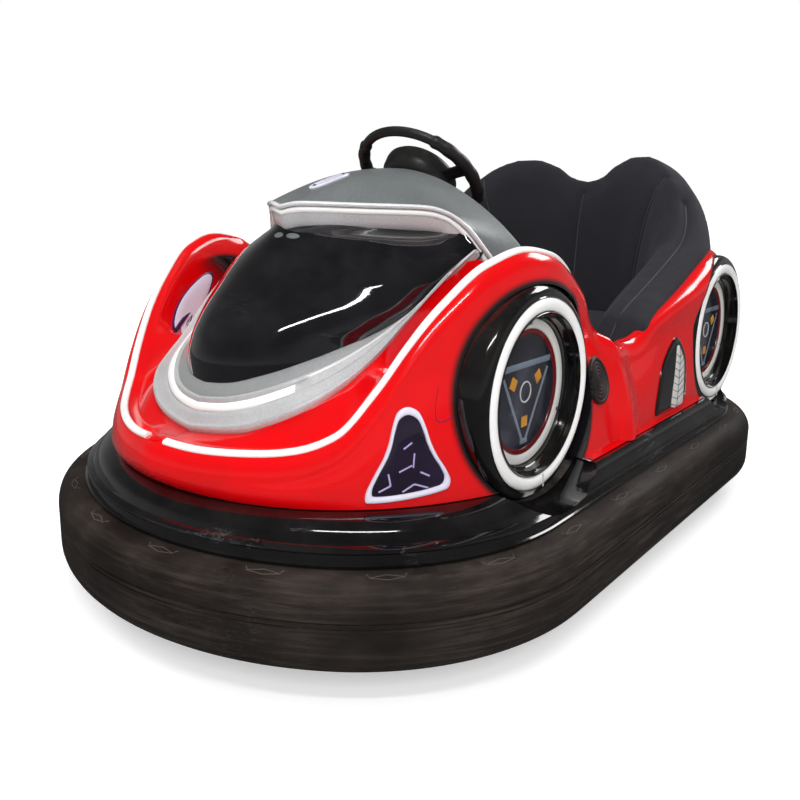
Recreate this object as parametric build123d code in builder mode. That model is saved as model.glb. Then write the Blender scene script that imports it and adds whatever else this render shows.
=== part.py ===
from build123d import *
from math import atan2, cos, radians, sin
from typing import NamedTuple
import os

# A two-seat battery bumper car. X is the car's left, the nose faces -Y, +Z is up.
# The origin is on the floor, under the middle of the rubber bumper. Sizes are in mm.

# ---------------------------------------------------------------- driving dimensions
length = 1950.0
width = 1220.0
floor_gap = 60.0            # from the floor to the underside of the bumper
bumper_height = 160.0
bumper_depth = 66.0         # rubber, from the outer face to the steel rail
bumper_round = 42.0
seat_gap = 0.3              # between pieces that rest on each other
pin_play = 0.05             # radial clearance of a turning pin
press_play = 0.1            # radial clearance of a seated ring on one body

rail_wall = 5.0
tube = 40.0
tube_wall = 3.0
tube_bottom = 120.0
pan_sheet = 4.0

tub_inset = 58.0            # black lower body, from the bumper's outer face
tub_height = 70.0
tub_round = 34.0
moulding = 5.0              # thickness of the glass-fibre mouldings
flange = 24.0

body_side_inset = 74.0      # red body at its foot, from the bumper's outer face
body_nose_inset = 113.0
body_tail_inset = 95.0
body_wall = 46.0            # whole double-skinned wall of fender, side and tail
body_lean = 0.13            # inset for each millimetre of height
crest_height = 708.0
crest_y = -380.0
nose_height = 374.0
sill_height = 482.0
tail_height = 660.0

tyre_radius = 200.0         # moulded tyres that only look like wheels
tyre_centre_z = 442.0
front_tyre_y = -370.0
rear_tyre_y = 555.0
front_face_inset = 122.0    # faces of the moulded tyres, from the bumper's outer face
rear_face_inset = 98.0
tyre_depth = 70.0
light_ring_inset = 23.0     # from the moulded tyre's tread to the light ring
light_ring_width = 24.0

screen_y = -450.0           # centre of the round windscreen foot
screen_foot_z = 455.0
tray_gap = 76.0             # from the tray's rim to the back of a front moulded tyre
tray_band = 38.0            # width of the tray's sloping band, seen from above
cowl_inset = 225.0          # from the bumper's outer face
cowl_top_z = 862.0
cowl_skirt_z = 640.0
lip_overhang = 76.0         # of the cowl's lip, past the windscreen's foot radius
lip_centre_back = 243.0     # from the windscreen's centre to the lip's

wheel_tilt = 42.0           # degrees between the steering column and the vertical
wheel_centre = (0.0, -100.0, 840.0)
rim_radius = 146.0
rim_tube = 14.0
boss_radius = 80.0
shaft_radius = 11.0
jacket_radius = 18.0

drive_y = -500.0
drive_radius = 110.0
drive_width = 60.0
drive_hub_radius = 70.0
spindle_radius = 15.0
axle_radius = 8.0
well_gap = 40.0             # round the drive wheel, in the floor
crown_gap = 14.0            # from the drive tyre to the fork's crown
crown_sheet = 10.0
bridge_gap = 18.0           # from the fork's crown to the bridge
bridge_sheet = 8.0

rear_axle_y = 480.0
rear_wheel_inset = 210.0    # middle of a rear wheel, from the bumper's outer face
rear_radius = 70.0
rear_width = 45.0
rear_hub_radius = 35.0

bulkhead_y = -350.0

seat_side_inset = 140.0     # padded back, from the bumper's outer face
seat_tail_inset = 115.0
seat_front_y = 62.0
seat_base_top = 330.0
cushion_top = 445.0
backrest_y = 735.0          # front face of the backrest on the centre line
bolster_inset = 280.0       # inner faces of the side bolsters, from the bumper's outer face
hump_inset = 402.0          # highest points of the back, from the bumper's outer face
hump_height = 925.0
valley_height = 858.0
bolster_front_height = 500.0

# ---------------------------------------------------------------- worked out from them
half_width = width / 2
front_face_x = half_width - front_face_inset
rear_face_x = half_width - rear_face_inset
tray_radius = front_face_x - tyre_depth - tray_gap
screen_foot_radius = tray_radius - tray_band
screen_front_y = screen_y - screen_foot_radius
# height, half width, y of the side edge, y of the middle of three sections of the windscreen
screen_sections = (
    (screen_foot_z + seat_gap, screen_foot_radius - 0.5, screen_y, screen_front_y + 0.5),
    (610.0, screen_foot_radius + 22, screen_y + 25, screen_front_y + 46),
    (800.0, screen_foot_radius - 49, screen_y + 55, screen_front_y + 194),
)
cowl_half_width = half_width - cowl_inset
cowl_plan_radius = screen_foot_radius + lip_overhang
light_ring_radius = tyre_radius - light_ring_inset
dish_radius = light_ring_radius - light_ring_width - 3.0
face_radius = dish_radius - 32.0
front_tip = -length / 2
rear_tip = length / 2
bumper_top = floor_gap + bumper_height
rail_inset = bumper_depth + seat_gap
pan_inset = rail_inset + rail_wall + seat_gap
tube_top = tube_bottom + tube
pan_top = tube_top + pan_sheet
tub_bottom = bumper_top + seat_gap
tub_top = tub_bottom + tub_height
body_foot = tub_top + seat_gap
rear_track = width - 2 * rear_wheel_inset
bolster_inner = half_width - bolster_inset
hump_x = half_width - hump_inset
well_radius = drive_radius + well_gap
crown_bottom = 2 * drive_radius + crown_gap
bridge_top = crown_bottom + crown_sheet + bridge_gap + bridge_sheet
column_down = (0.0, -sin(radians(wheel_tilt)), -cos(radians(wheel_tilt)))
column_run = (wheel_centre[1] - drive_y) / sin(radians(wheel_tilt))
knuckle_z = wheel_centre[2] - column_run * cos(radians(wheel_tilt))
far = 2 * length            # longer than anything it cuts

os.makedirs("parts", exist_ok=True)


class Plan(NamedTuple):
    """A rounded plan outline: straight sides, and an end of three tangent arcs at nose and tail.

    An end's length and the radius of its corners are given as what they exceed the half width by.
    """

    half: float
    nose: float
    tail: float
    nose_length: float
    nose_corner: float
    tail_length: float
    tail_corner: float

    def inset(self, distance):
        """The same outline, moved inwards all round."""
        return self._replace(
            half=self.half - distance, nose=self.nose + distance, tail=self.tail - distance
        )

    def end(self, tip, toward, extra_run, extra_corner):
        """Corner arc, tip arc and corner arc; toward is -1 at the nose and 1 at the tail."""
        half = self.half
        run = half + extra_run
        corner = half + extra_corner
        radius = (half**2 - 2 * half * corner + run**2) / (2 * (run - corner))
        side = tip - toward * run
        centre = tip - toward * radius
        x = radius * (half - corner) / (radius - corner)
        y = centre + radius * (side - centre) / (radius - corner)
        turn = atan2(abs(y - side), x - half + corner) / 2
        middle_x = half - corner + corner * cos(turn)
        middle_y = side + toward * corner * sin(turn)
        ThreePointArc((toward * half, side), (toward * middle_x, middle_y), (toward * x, y))
        ThreePointArc((toward * x, y), (0, tip), (-toward * x, y))
        ThreePointArc((-toward * x, y), (-toward * middle_x, middle_y), (-toward * half, side))

    def draw(self):
        """Draw the whole outline, anticlockwise from above."""
        nose_side = self.nose + self.half + self.nose_length
        tail_side = self.tail - self.half - self.tail_length
        self.end(self.nose, -1, self.nose_length, self.nose_corner)
        Line((self.half, nose_side), (self.half, tail_side))
        self.end(self.tail, 1, self.tail_length, self.tail_corner)
        Line((-self.half, tail_side), (-self.half, nose_side))


bumper_plan = Plan(half_width, front_tip, rear_tip, -54.0, -80.0, -117.0, -140.0)
body_plan = Plan(
    half_width - body_side_inset,
    front_tip + body_nose_inset,
    rear_tip - body_tail_inset,
    114.0,
    264.0,
    -86.0,
    -136.0,
)
seat_plan = Plan(
    half_width - seat_side_inset, front_tip, rear_tip - seat_tail_inset, 20.0, 40.0, -70.0, -130.0
)


def slab(plan, bottom, top, lean=0.0):
    """A solid with this plan at its foot, between two heights; lean is its inset per height."""
    with BuildPart() as block:
        for height in (bottom, top):
            with BuildSketch(Plane.XY.offset(height)):
                with BuildLine():
                    plan.inset(lean * (height - bottom)).draw()
                make_face()
        loft(ruled=True)
    return block.part


def ring(plan, outer_inset, inner_inset, bottom, top, lean=0.0):
    """A wall that follows the plan between two insets."""
    outer = slab(plan.inset(outer_inset), bottom, top, lean)
    return outer - slab(plan.inset(inner_inset), bottom, top, lean)


def crest_profile(lift=0.0):
    """Side view of the red body's top edge, closed at its foot, lifted by some millimetres."""
    start = front_tip - 100
    end = rear_tip + 100
    crest = (
        (start, nose_height + lift),
        (crest_y - 360, nose_height + lift),
        (crest_y - 105, crest_height + lift),
        (crest_y + 90, crest_height + lift),
        (20, sill_height + lift),
        (170, sill_height + lift),
        (470, tail_height - 30 + lift),
        (end, tail_height + lift),
    )
    FilletPolyline(*crest, radius=(60, 110, 120, 60, 120, 150))
    Polyline((end, tail_height + lift), (end, 0), (start, 0), (start, nose_height + lift))


def below_crest(lift=0.0):
    """All that lies under the crest of the red body."""
    with BuildPart() as block:
        with BuildSketch(Plane.YZ):
            with BuildLine():
                crest_profile(lift)
            make_face()
        extrude(amount=far / 2, both=True)
    return block.part


def tyre_discs(radius, depth_in, depth_out):
    """Four discs across the car where the moulded tyres sit, from behind to before each face."""
    discs = []
    for y, face in ((front_tyre_y, front_face_x), (rear_tyre_y, rear_face_x)):
        for side in (-1, 1):
            middle = side * (face + (depth_out - depth_in) / 2)
            disc = Cylinder(radius, depth_in + depth_out, rotation=(0, 90, 0), mode=Mode.PRIVATE)
            discs.append(Pos(middle, y, tyre_centre_z) * disc)
    return discs


def finish(part, name):
    """Label a piece and write it."""
    part.label = name
    export_step(part, f"parts/{name}.step")


body_ceiling = crest_height + 80
arches = tyre_discs(tyre_radius + seat_gap, tyre_depth + seat_gap, far / 4)
red_wall = ring(body_plan, 0, body_wall, body_foot, body_ceiling, body_lean) & below_crest()

# ---------------------------------------------------------------- bumper and steel
with BuildPart() as bumper:
    with BuildSketch(Plane.XY.offset(floor_gap)):
        with BuildLine():
            bumper_plan.draw()
        make_face()
        with BuildLine():
            bumper_plan.inset(bumper_depth).draw()
        make_face(mode=Mode.SUBTRACT)
    extrude(amount=bumper_height, dir=(0, 0, 1))
    ends = bumper.faces().sort_by(Axis.Z)
    fillet(ends[-1].outer_wire().edges() + ends[0].outer_wire().edges(), radius=bumper_round)
finish(bumper.part, "bumper")

with BuildPart() as bumper_rail:
    add(ring(bumper_plan, rail_inset, rail_inset + rail_wall, tube_bottom - tube, bumper_top))
finish(bumper_rail.part, "bumper_rail")

rail_x = half_width - 360.0
with BuildPart() as chassis_rails:
    with Locations((-rail_x, 0, tube_bottom + tube / 2), (rail_x, 0, tube_bottom + tube / 2)):
        Box(tube, length, tube)
        Box(tube - 2 * tube_wall, length, tube - 2 * tube_wall, mode=Mode.SUBTRACT)
    add(slab(bumper_plan.inset(pan_inset), 0, far), mode=Mode.INTERSECT)
finish(chassis_rails.part, "chassis_rails")

seat_member_y = 100.0
rear_member_y = 640.0
crossmember_y = (
    drive_y - well_radius - tube, drive_y + well_radius + tube, seat_member_y, rear_member_y
)
with BuildPart() as chassis_crossmembers:
    for y in crossmember_y:
        with Locations((0, y, tube_bottom + tube / 2)):
            Box(width, tube, tube)
            Box(width, tube - 2 * tube_wall, tube - 2 * tube_wall, mode=Mode.SUBTRACT)
    with Locations((-rail_x, 0, tube_top), (rail_x, 0, tube_top)):
        Box(tube + 2 * seat_gap, far, far / 2, mode=Mode.SUBTRACT)
    add(slab(bumper_plan.inset(pan_inset), 0, far), mode=Mode.INTERSECT)
finish(chassis_crossmembers.part, "chassis_crossmembers")

with BuildPart() as floor_pan:
    add(slab(bumper_plan.inset(pan_inset), tube_top, pan_top))
    with Locations((0, drive_y, pan_top)):
        Cylinder(well_radius, tube, mode=Mode.SUBTRACT)
finish(floor_pan.part, "floor_pan")

tow_plate = (60.0, 70.0, 8.0)
tow_hole = 8.5
tow_y = rear_member_y + tube / 2 + tow_plate[1] / 2
with BuildPart() as tow_lug:
    with Locations((0, tow_y + seat_gap, tube_bottom + tow_plate[2] / 2)):
        Box(*tow_plate)
        Cylinder(tow_hole, tow_plate[2], mode=Mode.SUBTRACT)
finish(tow_lug.part, "tow_lug")

# ---------------------------------------------------------------- black lower body
tub_plan = bumper_plan.inset(tub_inset)
with BuildPart() as tub_hollow:
    add(slab(tub_plan.inset(moulding), tub_bottom + moulding, tub_top - moulding))
    fillet(tub_hollow.faces().sort_by(Axis.Z)[-1].edges(), radius=tub_round - moulding)
with BuildPart() as lower_tub:
    add(slab(tub_plan, tub_bottom, tub_top))
    fillet(lower_tub.faces().sort_by(Axis.Z)[-1].edges(), radius=tub_round)
    add(tub_hollow.part, mode=Mode.SUBTRACT)
    add(slab(tub_plan.inset(flange), 0, tub_bottom + moulding), mode=Mode.SUBTRACT)
    add(slab(body_plan.inset(body_wall + flange), 0, far), mode=Mode.SUBTRACT)
    for arch in arches:
        add(arch, mode=Mode.SUBTRACT)
finish(lower_tub.part, "lower_tub")

# ---------------------------------------------------------------- red upper body
nose_half = 300.0
split_front_y = 0.0
split_reach = 160.0         # side and tail end behind the rear moulded tyre, this far from its middle
side_rear_y = rear_tyre_y - split_reach
tail_front_y = rear_tyre_y + split_reach
split_gap = seat_gap / 2
deck_sheet = 8.0
deck_rear_y = bulkhead_y - moulding / 2 - seat_gap
# name, x range, y range of each moulded section
sections = (
    ("nose_panel", (-nose_half, nose_half), (front_tip, split_front_y)),
    ("fender_left", (nose_half, half_width), (front_tip, split_front_y)),
    ("fender_right", (-half_width, -nose_half), (front_tip, split_front_y)),
    ("side_left", (0, half_width), (split_front_y, side_rear_y)),
    ("side_right", (-half_width, 0), (split_front_y, side_rear_y)),
    ("tail_panel", (-half_width, half_width), (tail_front_y, rear_tip)),
)
for name, (x0, x1), (y0, y1) in sections:
    with BuildPart() as section:
        add(red_wall)
        for arch in arches:
            add(arch, mode=Mode.SUBTRACT)
        with Locations(((x0 + x1) / 2, (y0 + y1) / 2, 0)):
            Box(x1 - x0 - 2 * split_gap, y1 - y0 - 2 * split_gap, far, mode=Mode.INTERSECT)
    finish(section.part, name)

deck_inset = body_wall + seat_gap + (nose_height - body_foot) * body_lean
with BuildPart() as nose_deck:
    add(slab(body_plan.inset(deck_inset), nose_height - deck_sheet, nose_height))
    with Locations((0, screen_y, nose_height)):
        Cylinder(tray_radius + seat_gap, far, mode=Mode.SUBTRACT)
    with Locations((0, (front_tip + deck_rear_y) / 2, nose_height)):
        Box(width, deck_rear_y - front_tip, far, mode=Mode.INTERSECT)
    for arch in arches:
        add(arch, mode=Mode.SUBTRACT)
finish(nose_deck.part, "nose_deck")

# ---------------------------------------------------------------- tray, windscreen, cowl
tray_bottom = nose_height - deck_sheet
axis_plane = Plane(origin=(0, screen_y, 0), x_dir=(1, 0, 0), z_dir=(0, -1, 0))
screen_axis = Axis((0, screen_y, 0), (0, 0, 1))
with BuildPart() as tray:
    with BuildSketch(axis_plane):
        with BuildLine():
            Polyline(
                (tray_radius, tray_bottom),
                (tray_radius, nose_height),
                (screen_foot_radius + seat_gap, screen_foot_z),
                (screen_foot_radius - moulding, screen_foot_z),
                (tray_radius - 2 * moulding, tray_bottom),
                close=True,
            )
        make_face()
    revolve(axis=screen_axis, revolution_arc=-180)
finish(tray.part, "tray")

dash_offset = 112.0         # from the rim's plane down the column to the dash panel
dash_up = 150.0             # dash panel, up and down from the column
dash_down = 70.0
cowl_front_reach = screen_foot_radius + 36.0
cowl_front_drop = 158.0     # below the cowl's top
cowl_crown_drop = 34.0
shoulder_share = 0.78       # of the half width
shoulder_drop = 87.0
hip_drop = 120.0
edge_drop = 182.0


def dash_point(along, depth):
    """A point (y, z) this far up the dash panel towards the nose, and this deep under it."""
    y = wheel_centre[1] + column_down[1] * (dash_offset + depth) + along * column_down[2]
    z = wheel_centre[2] + column_down[2] * (dash_offset + depth) - along * column_down[1]
    return (y, z)


def cowl_volume(shrink, foot):
    """The space under the cowl's outer face, made smaller all round, down to its foot."""
    top = cowl_top_z - shrink
    front = (screen_y - cowl_front_reach + shrink, top - cowl_front_drop)
    rear_top = dash_point(dash_up, shrink)
    rear_foot = dash_point(-dash_down, shrink)
    edge = cowl_half_width - shrink
    shoulder = shoulder_share * cowl_half_width
    hip = (0.93 * edge, top - hip_drop)
    side = (edge, top - edge_drop)
    with BuildPart() as block:
        with BuildSketch(Plane.YZ):
            with BuildLine():
                ThreePointArc(front, (screen_y + 10, top - cowl_crown_drop), rear_top)
                Polyline(rear_top, rear_foot, (rear_foot[0], foot), (front[0], foot), front)
            make_face()
        extrude(amount=far / 2, both=True)
        with BuildSketch(Plane.XZ):
            with BuildLine():
                crown = ThreePointArc(
                    (-shoulder, top - shoulder_drop), (0, top), (shoulder, top - shoulder_drop)
                )
                ThreePointArc(crown @ 1, hip, side)
                Polyline(side, (edge, foot), (-edge, foot), (-side[0], side[1]))
                ThreePointArc((-side[0], side[1]), (-hip[0], hip[1]), crown @ 0)
            make_face()
        extrude(amount=far / 2, both=True, mode=Mode.INTERSECT)
    return block.part


def cowl_plan(reach):
    """Everything behind a round lip that reaches this far from the lip's centre."""
    with BuildPart() as block:
        with Locations((0, screen_y + lip_centre_back, cowl_top_z)):
            Cylinder(reach, far)
            Box(width, far, far, align=(Align.CENTER, Align.MIN, Align.CENTER))
    return block.part


with BuildPart() as cowl:
    add(cowl_volume(0, cowl_skirt_z))
    add(cowl_volume(moulding, 0), mode=Mode.SUBTRACT)
    add(cowl_plan(cowl_plan_radius), mode=Mode.INTERSECT)
    with BuildSketch(Plane(origin=wheel_centre, z_dir=column_down)):
        Circle(jacket_radius + seat_gap)
    extrude(amount=2 * dash_offset, mode=Mode.SUBTRACT)
finish(cowl.part, "cowl")


def screen_shell(grow):
    """The windscreen's shell, thicker by this much on both faces."""
    with BuildPart() as shell:
        for height, half, side_y, front_y in screen_sections:
            with BuildSketch(Plane.XY.offset(height)):
                with BuildLine():
                    outer = half + grow
                    inner = half - moulding - grow
                    ThreePointArc((-outer, side_y), (0, front_y - grow), (outer, side_y))
                    Line((outer, side_y), (inner, side_y))
                    ThreePointArc((inner, side_y), (0, front_y + moulding + grow), (-inner, side_y))
                    Line((-inner, side_y), (-outer, side_y))
                make_face()
        loft()
    return shell.part


with BuildPart() as windscreen:
    add(screen_shell(0))
    add(cowl_volume(moulding + seat_gap, 0), mode=Mode.INTERSECT)
finish(windscreen.part, "windscreen")

lip_light = 6.0
with BuildPart() as cowl_light:
    add(cowl_volume(moulding + seat_gap, cowl_skirt_z))
    add(cowl_volume(moulding + seat_gap + lip_light, 0), mode=Mode.SUBTRACT)
    add(cowl_plan(cowl_plan_radius - lip_light), mode=Mode.INTERSECT)
    add(cowl_plan(cowl_plan_radius - 2 * lip_light), mode=Mode.SUBTRACT)
    add(screen_shell(seat_gap), mode=Mode.SUBTRACT)
finish(cowl_light.part, "cowl_light")

badge_size = (42.0, 128.0, 3.0)
badge_corner = 16.0
badge_slope = 14.5          # degrees, up towards the steering wheel
badge_origin = (0, screen_y + 35, cowl_top_z - 29)
badge_plane = Plane(origin=badge_origin).rotated((badge_slope, 0, 0))
with BuildPart() as badge_plate:
    with BuildSketch(badge_plane):
        RectangleRounded(badge_size[0], badge_size[1], badge_corner)
    extrude(amount=badge_size[2])
    add(cowl_volume(-seat_gap, 0), mode=Mode.SUBTRACT)
finish(badge_plate.part, "badge_plate")

# ---------------------------------------------------------------- light strips and lamps
strip_width = 14.0
strip_height = 8.0
strip_inset = 2.0           # from the red body's outer face
strip_rear_y = -110.0
nose_break = 25.0           # half of the red gap at the nose
with BuildPart() as fender_lights:
    add(ring(body_plan, strip_inset, strip_inset + strip_width, body_foot, body_ceiling, body_lean))
    add(below_crest(strip_height), mode=Mode.INTERSECT)
    add(below_crest(seat_gap), mode=Mode.SUBTRACT)
    with Locations((0, (front_tip + strip_rear_y) / 2, 0)):
        Box(width, strip_rear_y - front_tip, far, mode=Mode.INTERSECT)
    Box(2 * nose_break, far, far, mode=Mode.SUBTRACT)
finish(fender_lights.part, "fender_lights")

tray_slope = (tray_radius - screen_foot_radius) / (screen_foot_z - nose_height)
tray_strip = (6.0, 10.0)    # depth and height of the white strip
tray_strip_z = nose_height + 25.0
tray_strip_ends_y = screen_y - 180.0
tray_strip_radius = tray_radius - (tray_strip_z - nose_height) * tray_slope + seat_gap
with BuildPart() as tray_light:
    with BuildSketch(axis_plane):
        with Locations((tray_strip_radius, tray_strip_z)):
            Rectangle(*tray_strip, align=(Align.MIN, Align.MIN))
    revolve(axis=screen_axis, revolution_arc=-180)
    add(tray.part, mode=Mode.SUBTRACT)
    with Locations((0, tray_strip_ends_y, 0)):
        Box(width, far, far, align=(Align.CENTER, Align.MAX, Align.CENTER), mode=Mode.INTERSECT)
finish(tray_light.part, "tray_light")

lamp_sheet = 4.0            # how far the lamps and panels stand off the red body
lamp_skin = ring(body_plan, -lamp_sheet, -seat_gap, body_foot, body_ceiling, body_lean)
lamp_axis_y = body_plan.nose + 541.0
lamp_turn = 42.0            # degrees from the side, seen from above
lamp_foot = body_foot + 27.4
# along the skin, and up from the lamp's foot
lamp_corners = ((-44, 0), (44, 0), (36, 32), (10, 144), (-10, 144), (-36, 32))
lamps = []
for side in (-1, 1):
    lamp_plane = Plane(
        origin=(0, lamp_axis_y, 0),
        x_dir=(side * sin(radians(lamp_turn)), cos(radians(lamp_turn)), 0),
        z_dir=(side * cos(radians(lamp_turn)), -sin(radians(lamp_turn)), 0),
    )
    with BuildPart() as lamp:
        with BuildSketch(lamp_plane):
            with BuildLine():
                Polyline(*[(x, side * (lamp_foot + z)) for x, z in lamp_corners], close=True)
            make_face()
        extrude(amount=far)
        add(lamp_skin, mode=Mode.INTERSECT)
    lamps.append(lamp.part)
with BuildPart() as fender_lamps:
    for lamp_part in lamps:
        add(lamp_part)
finish(fender_lamps.part, "fender_lamps")

inner_shift = (nose_height - body_foot) * body_lean
inner_skin = ring(
    body_plan.inset(inner_shift),
    body_wall + seat_gap,
    body_wall + lamp_sheet,
    nose_height + seat_gap,
    body_ceiling,
    body_lean,
)
# ends of the two arcs of the crescent, and a point on each, as (y, z) from the crest's middle
crescent_foot_front = (crest_y - 310, nose_height + 26)
crescent_foot_rear = (crest_y - 260, nose_height + 26)
crescent_front = (crest_y - 260, nose_height + 96)
crescent_rear = (crest_y - 205, nose_height + 96)
crescent_tip = (crest_y - 190, nose_height + 186)
with BuildPart() as headlamps:
    with BuildSketch(Plane.YZ):
        with BuildLine():
            ThreePointArc(crescent_foot_front, crescent_front, crescent_tip)
            ThreePointArc(crescent_tip, crescent_rear, crescent_foot_rear)
            Line(crescent_foot_rear, crescent_foot_front)
        make_face()
    extrude(amount=far / 2, both=True)
    add(inner_skin, mode=Mode.INTERSECT)
    Box(2 * nose_half - 20, far, far, mode=Mode.SUBTRACT)
finish(headlamps.part, "headlamps")

panel_foot = body_foot + 9.4
panel_head = sill_height - 27.0
panel_foot_y = (rear_tyre_y - 325.0, rear_tyre_y - 245.0)
panel_head_y = (rear_tyre_y - 275.0, rear_tyre_y - 215.0)
with BuildPart() as side_panels:
    with BuildSketch(Plane.YZ):
        with BuildLine():
            Polyline(
                (panel_foot_y[0], panel_foot),
                (panel_foot_y[1], panel_foot),
                (panel_head_y[1], panel_head),
                (panel_head_y[0], panel_head),
                close=True,
            )
        make_face()
    extrude(amount=far / 2, both=True)
    add(lamp_skin, mode=Mode.INTERSECT)
finish(side_panels.part, "side_panels")

speaker_radius = 42.0
speaker_depth = 8.0
speaker_y = front_tyre_y + 258.0
speaker_z = sill_height - 67.0
with BuildPart() as speaker_covers:
    with BuildSketch(Plane.YZ):
        with Locations((speaker_y, speaker_z)):
            Circle(speaker_radius)
    extrude(amount=far / 2, both=True)
    add(
        ring(body_plan, -speaker_depth, -seat_gap, body_foot, body_ceiling, body_lean),
        mode=Mode.INTERSECT,
    )
finish(speaker_covers.part, "speaker_covers")

# ---------------------------------------------------------------- moulded tyres
dish_depth = 34.0
dish_round = 22.0           # of the moulded tyre's shoulder
light_ring_height = 7.0
inner_ring_width = 20.0
inner_ring_height = 8.0
face_sheet = 5.0


def across_car(radius, hole, back, front, rounding=0.0):
    """Four like rings across the car; back and front are measured out from each tyre's face."""
    with BuildPart() as rings:
        for y, face in ((front_tyre_y, front_face_x), (rear_tyre_y, rear_face_x)):
            for side in (-1, 1):
                with BuildSketch(Plane(origin=(side * (face + back), y, tyre_centre_z),
                                       z_dir=(side, 0, 0))):
                    Circle(radius)
                    if hole:
                        Circle(hole, mode=Mode.SUBTRACT)
                extrude(amount=front - back)
        if rounding:
            rims = rings.edges().filter_by(GeomType.CIRCLE)
            rims = rims.filter_by(lambda rim: abs(rim.radius - radius) < 0.01)
            rims = rims.filter_by(lambda rim: abs(rim.center().X) > front_face_x - tyre_depth / 2)
            fillet(rims, radius=rounding)
    return rings.part


with BuildPart() as moulded_tyres:
    add(across_car(tyre_radius, 0, -tyre_depth, 0, dish_round))
    add(across_car(dish_radius, 0, -dish_depth, 1.0), mode=Mode.SUBTRACT)
finish(moulded_tyres.part, "moulded_tyres")

with BuildPart() as light_rings:
    add(
        across_car(
            light_ring_radius,
            light_ring_radius - light_ring_width,
            seat_gap,
            light_ring_height,
        )
    )
finish(light_rings.part, "light_rings")

with BuildPart() as dish_rings:
    add(
        across_car(
            face_radius + inner_ring_width,
            face_radius,
            -dish_depth + seat_gap,
            -dish_depth + inner_ring_height,
        )
    )
finish(dish_rings.part, "dish_rings")

with BuildPart() as wheel_faces:
    add(
        across_car(face_radius - seat_gap, 0, -dish_depth + seat_gap, -dish_depth + face_sheet)
    )
finish(wheel_faces.part, "wheel_faces")

# ---------------------------------------------------------------- seat
seat_wall_gap = 5.0
seat_base_front_y = seat_front_y + 20.0
base_inset = body_plan.half - (rear_face_x - tyre_depth - seat_wall_gap)
with BuildPart() as seat_base_hollow:
    add(slab(body_plan.inset(base_inset + moulding), 0, seat_base_top - moulding))
    with Locations((0, seat_base_front_y + moulding, 0)):
        Box(width, far, far, align=(Align.CENTER, Align.MIN, Align.CENTER), mode=Mode.INTERSECT)
with BuildPart() as seat_base:
    add(slab(body_plan.inset(base_inset), pan_top + seat_gap, seat_base_top))
    with Locations((0, seat_base_front_y, 0)):
        Box(width, far, far, align=(Align.CENTER, Align.MIN, Align.CENTER), mode=Mode.INTERSECT)
    add(seat_base_hollow.part, mode=Mode.SUBTRACT)
finish(seat_base.part, "seat_base")

cushion_plan = Plan(bolster_inner, front_tip, backrest_y, 15.0, 30.0, -70.0, -130.0)
cushion_play = 3.0
cushion_round = 30.0
with BuildPart() as seat_cushion:
    add(slab(cushion_plan.inset(cushion_play), seat_base_top + seat_gap, cushion_top))
    with Locations((0, seat_front_y, 0)):
        Box(width, far, far, align=(Align.CENTER, Align.MIN, Align.CENTER), mode=Mode.INTERSECT)
    fillet(seat_cushion.faces().sort_by(Axis.Z)[-1].edges(), radius=cushion_round)
finish(seat_cushion.part, "seat_cushion")

seat_ceiling = hump_height + 40.0
outer_edge = (half_width - 130.0, hump_height - 185.0)
shoulder = (outer_edge[0] - 120.0, hump_height - 60.0)
dip = (0.45 * hump_x, hump_height - 18.0)
with BuildPart() as seat_back:
    add(slab(seat_plan, seat_base_top + seat_gap, hump_height))
    add(slab(cushion_plan, 0, far), mode=Mode.SUBTRACT)
    with BuildSketch(Plane.YZ):
        with BuildLine():
            FilletPolyline(
                (seat_front_y, bolster_front_height),
                (seat_front_y + 138, bolster_front_height + 60),
                (backrest_y - 135, hump_height - 135),
                (backrest_y, seat_ceiling),
                (rear_tip, seat_ceiling),
                radius=(100, 200, 60),
            )
            Polyline(
                (rear_tip, seat_ceiling),
                (rear_tip, 0),
                (seat_front_y, 0),
                (seat_front_y, bolster_front_height),
            )
        make_face()
    extrude(amount=far / 2, both=True, mode=Mode.INTERSECT)
    with BuildSketch(Plane.XZ):
        with BuildLine():
            for side in (1, -1):
                hump = (side * hump_x, hump_height)
                edge = (side * outer_edge[0], outer_edge[1])
                ThreePointArc((0, valley_height), (side * dip[0], dip[1]), hump)
                ThreePointArc(hump, (side * shoulder[0], shoulder[1]), edge)
                Line(edge, (edge[0], 0))
            Line((outer_edge[0], 0), (-outer_edge[0], 0))
        make_face()
    extrude(amount=far / 2, both=True, mode=Mode.INTERSECT)
    seat_clear = ring(
        body_plan, -30, body_wall + seat_wall_gap, body_foot, body_ceiling, body_lean
    ) & below_crest(seat_wall_gap)
    add(seat_clear, mode=Mode.SUBTRACT)
    for disc in tyre_discs(tyre_radius + seat_wall_gap, tyre_depth + seat_wall_gap, far / 4):
        add(disc, mode=Mode.SUBTRACT)
finish(seat_back.part, "seat_back")

battery = (300.0, 170.0, 150.0)
battery_x = 180.0
battery_y = 420.0
with BuildPart() as battery_pack:
    with Locations(
        (-battery_x, battery_y, pan_top + seat_gap), (battery_x, battery_y, pan_top + seat_gap)
    ):
        Box(*battery, align=(Align.CENTER, Align.CENTER, Align.MIN))
finish(battery_pack.part, "battery_pack")

# ---------------------------------------------------------------- footwell
bulkhead_top = 500.0
bulkhead_half = front_face_x - tyre_depth - 8.0
with BuildPart() as bulkhead:
    with Locations((0, bulkhead_y, pan_top + seat_gap)):
        Box(
            2 * bulkhead_half,
            moulding,
            bulkhead_top - pan_top,
            align=(Align.CENTER, Align.CENTER, Align.MIN),
        )
finish(bulkhead.part, "bulkhead")

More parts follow.
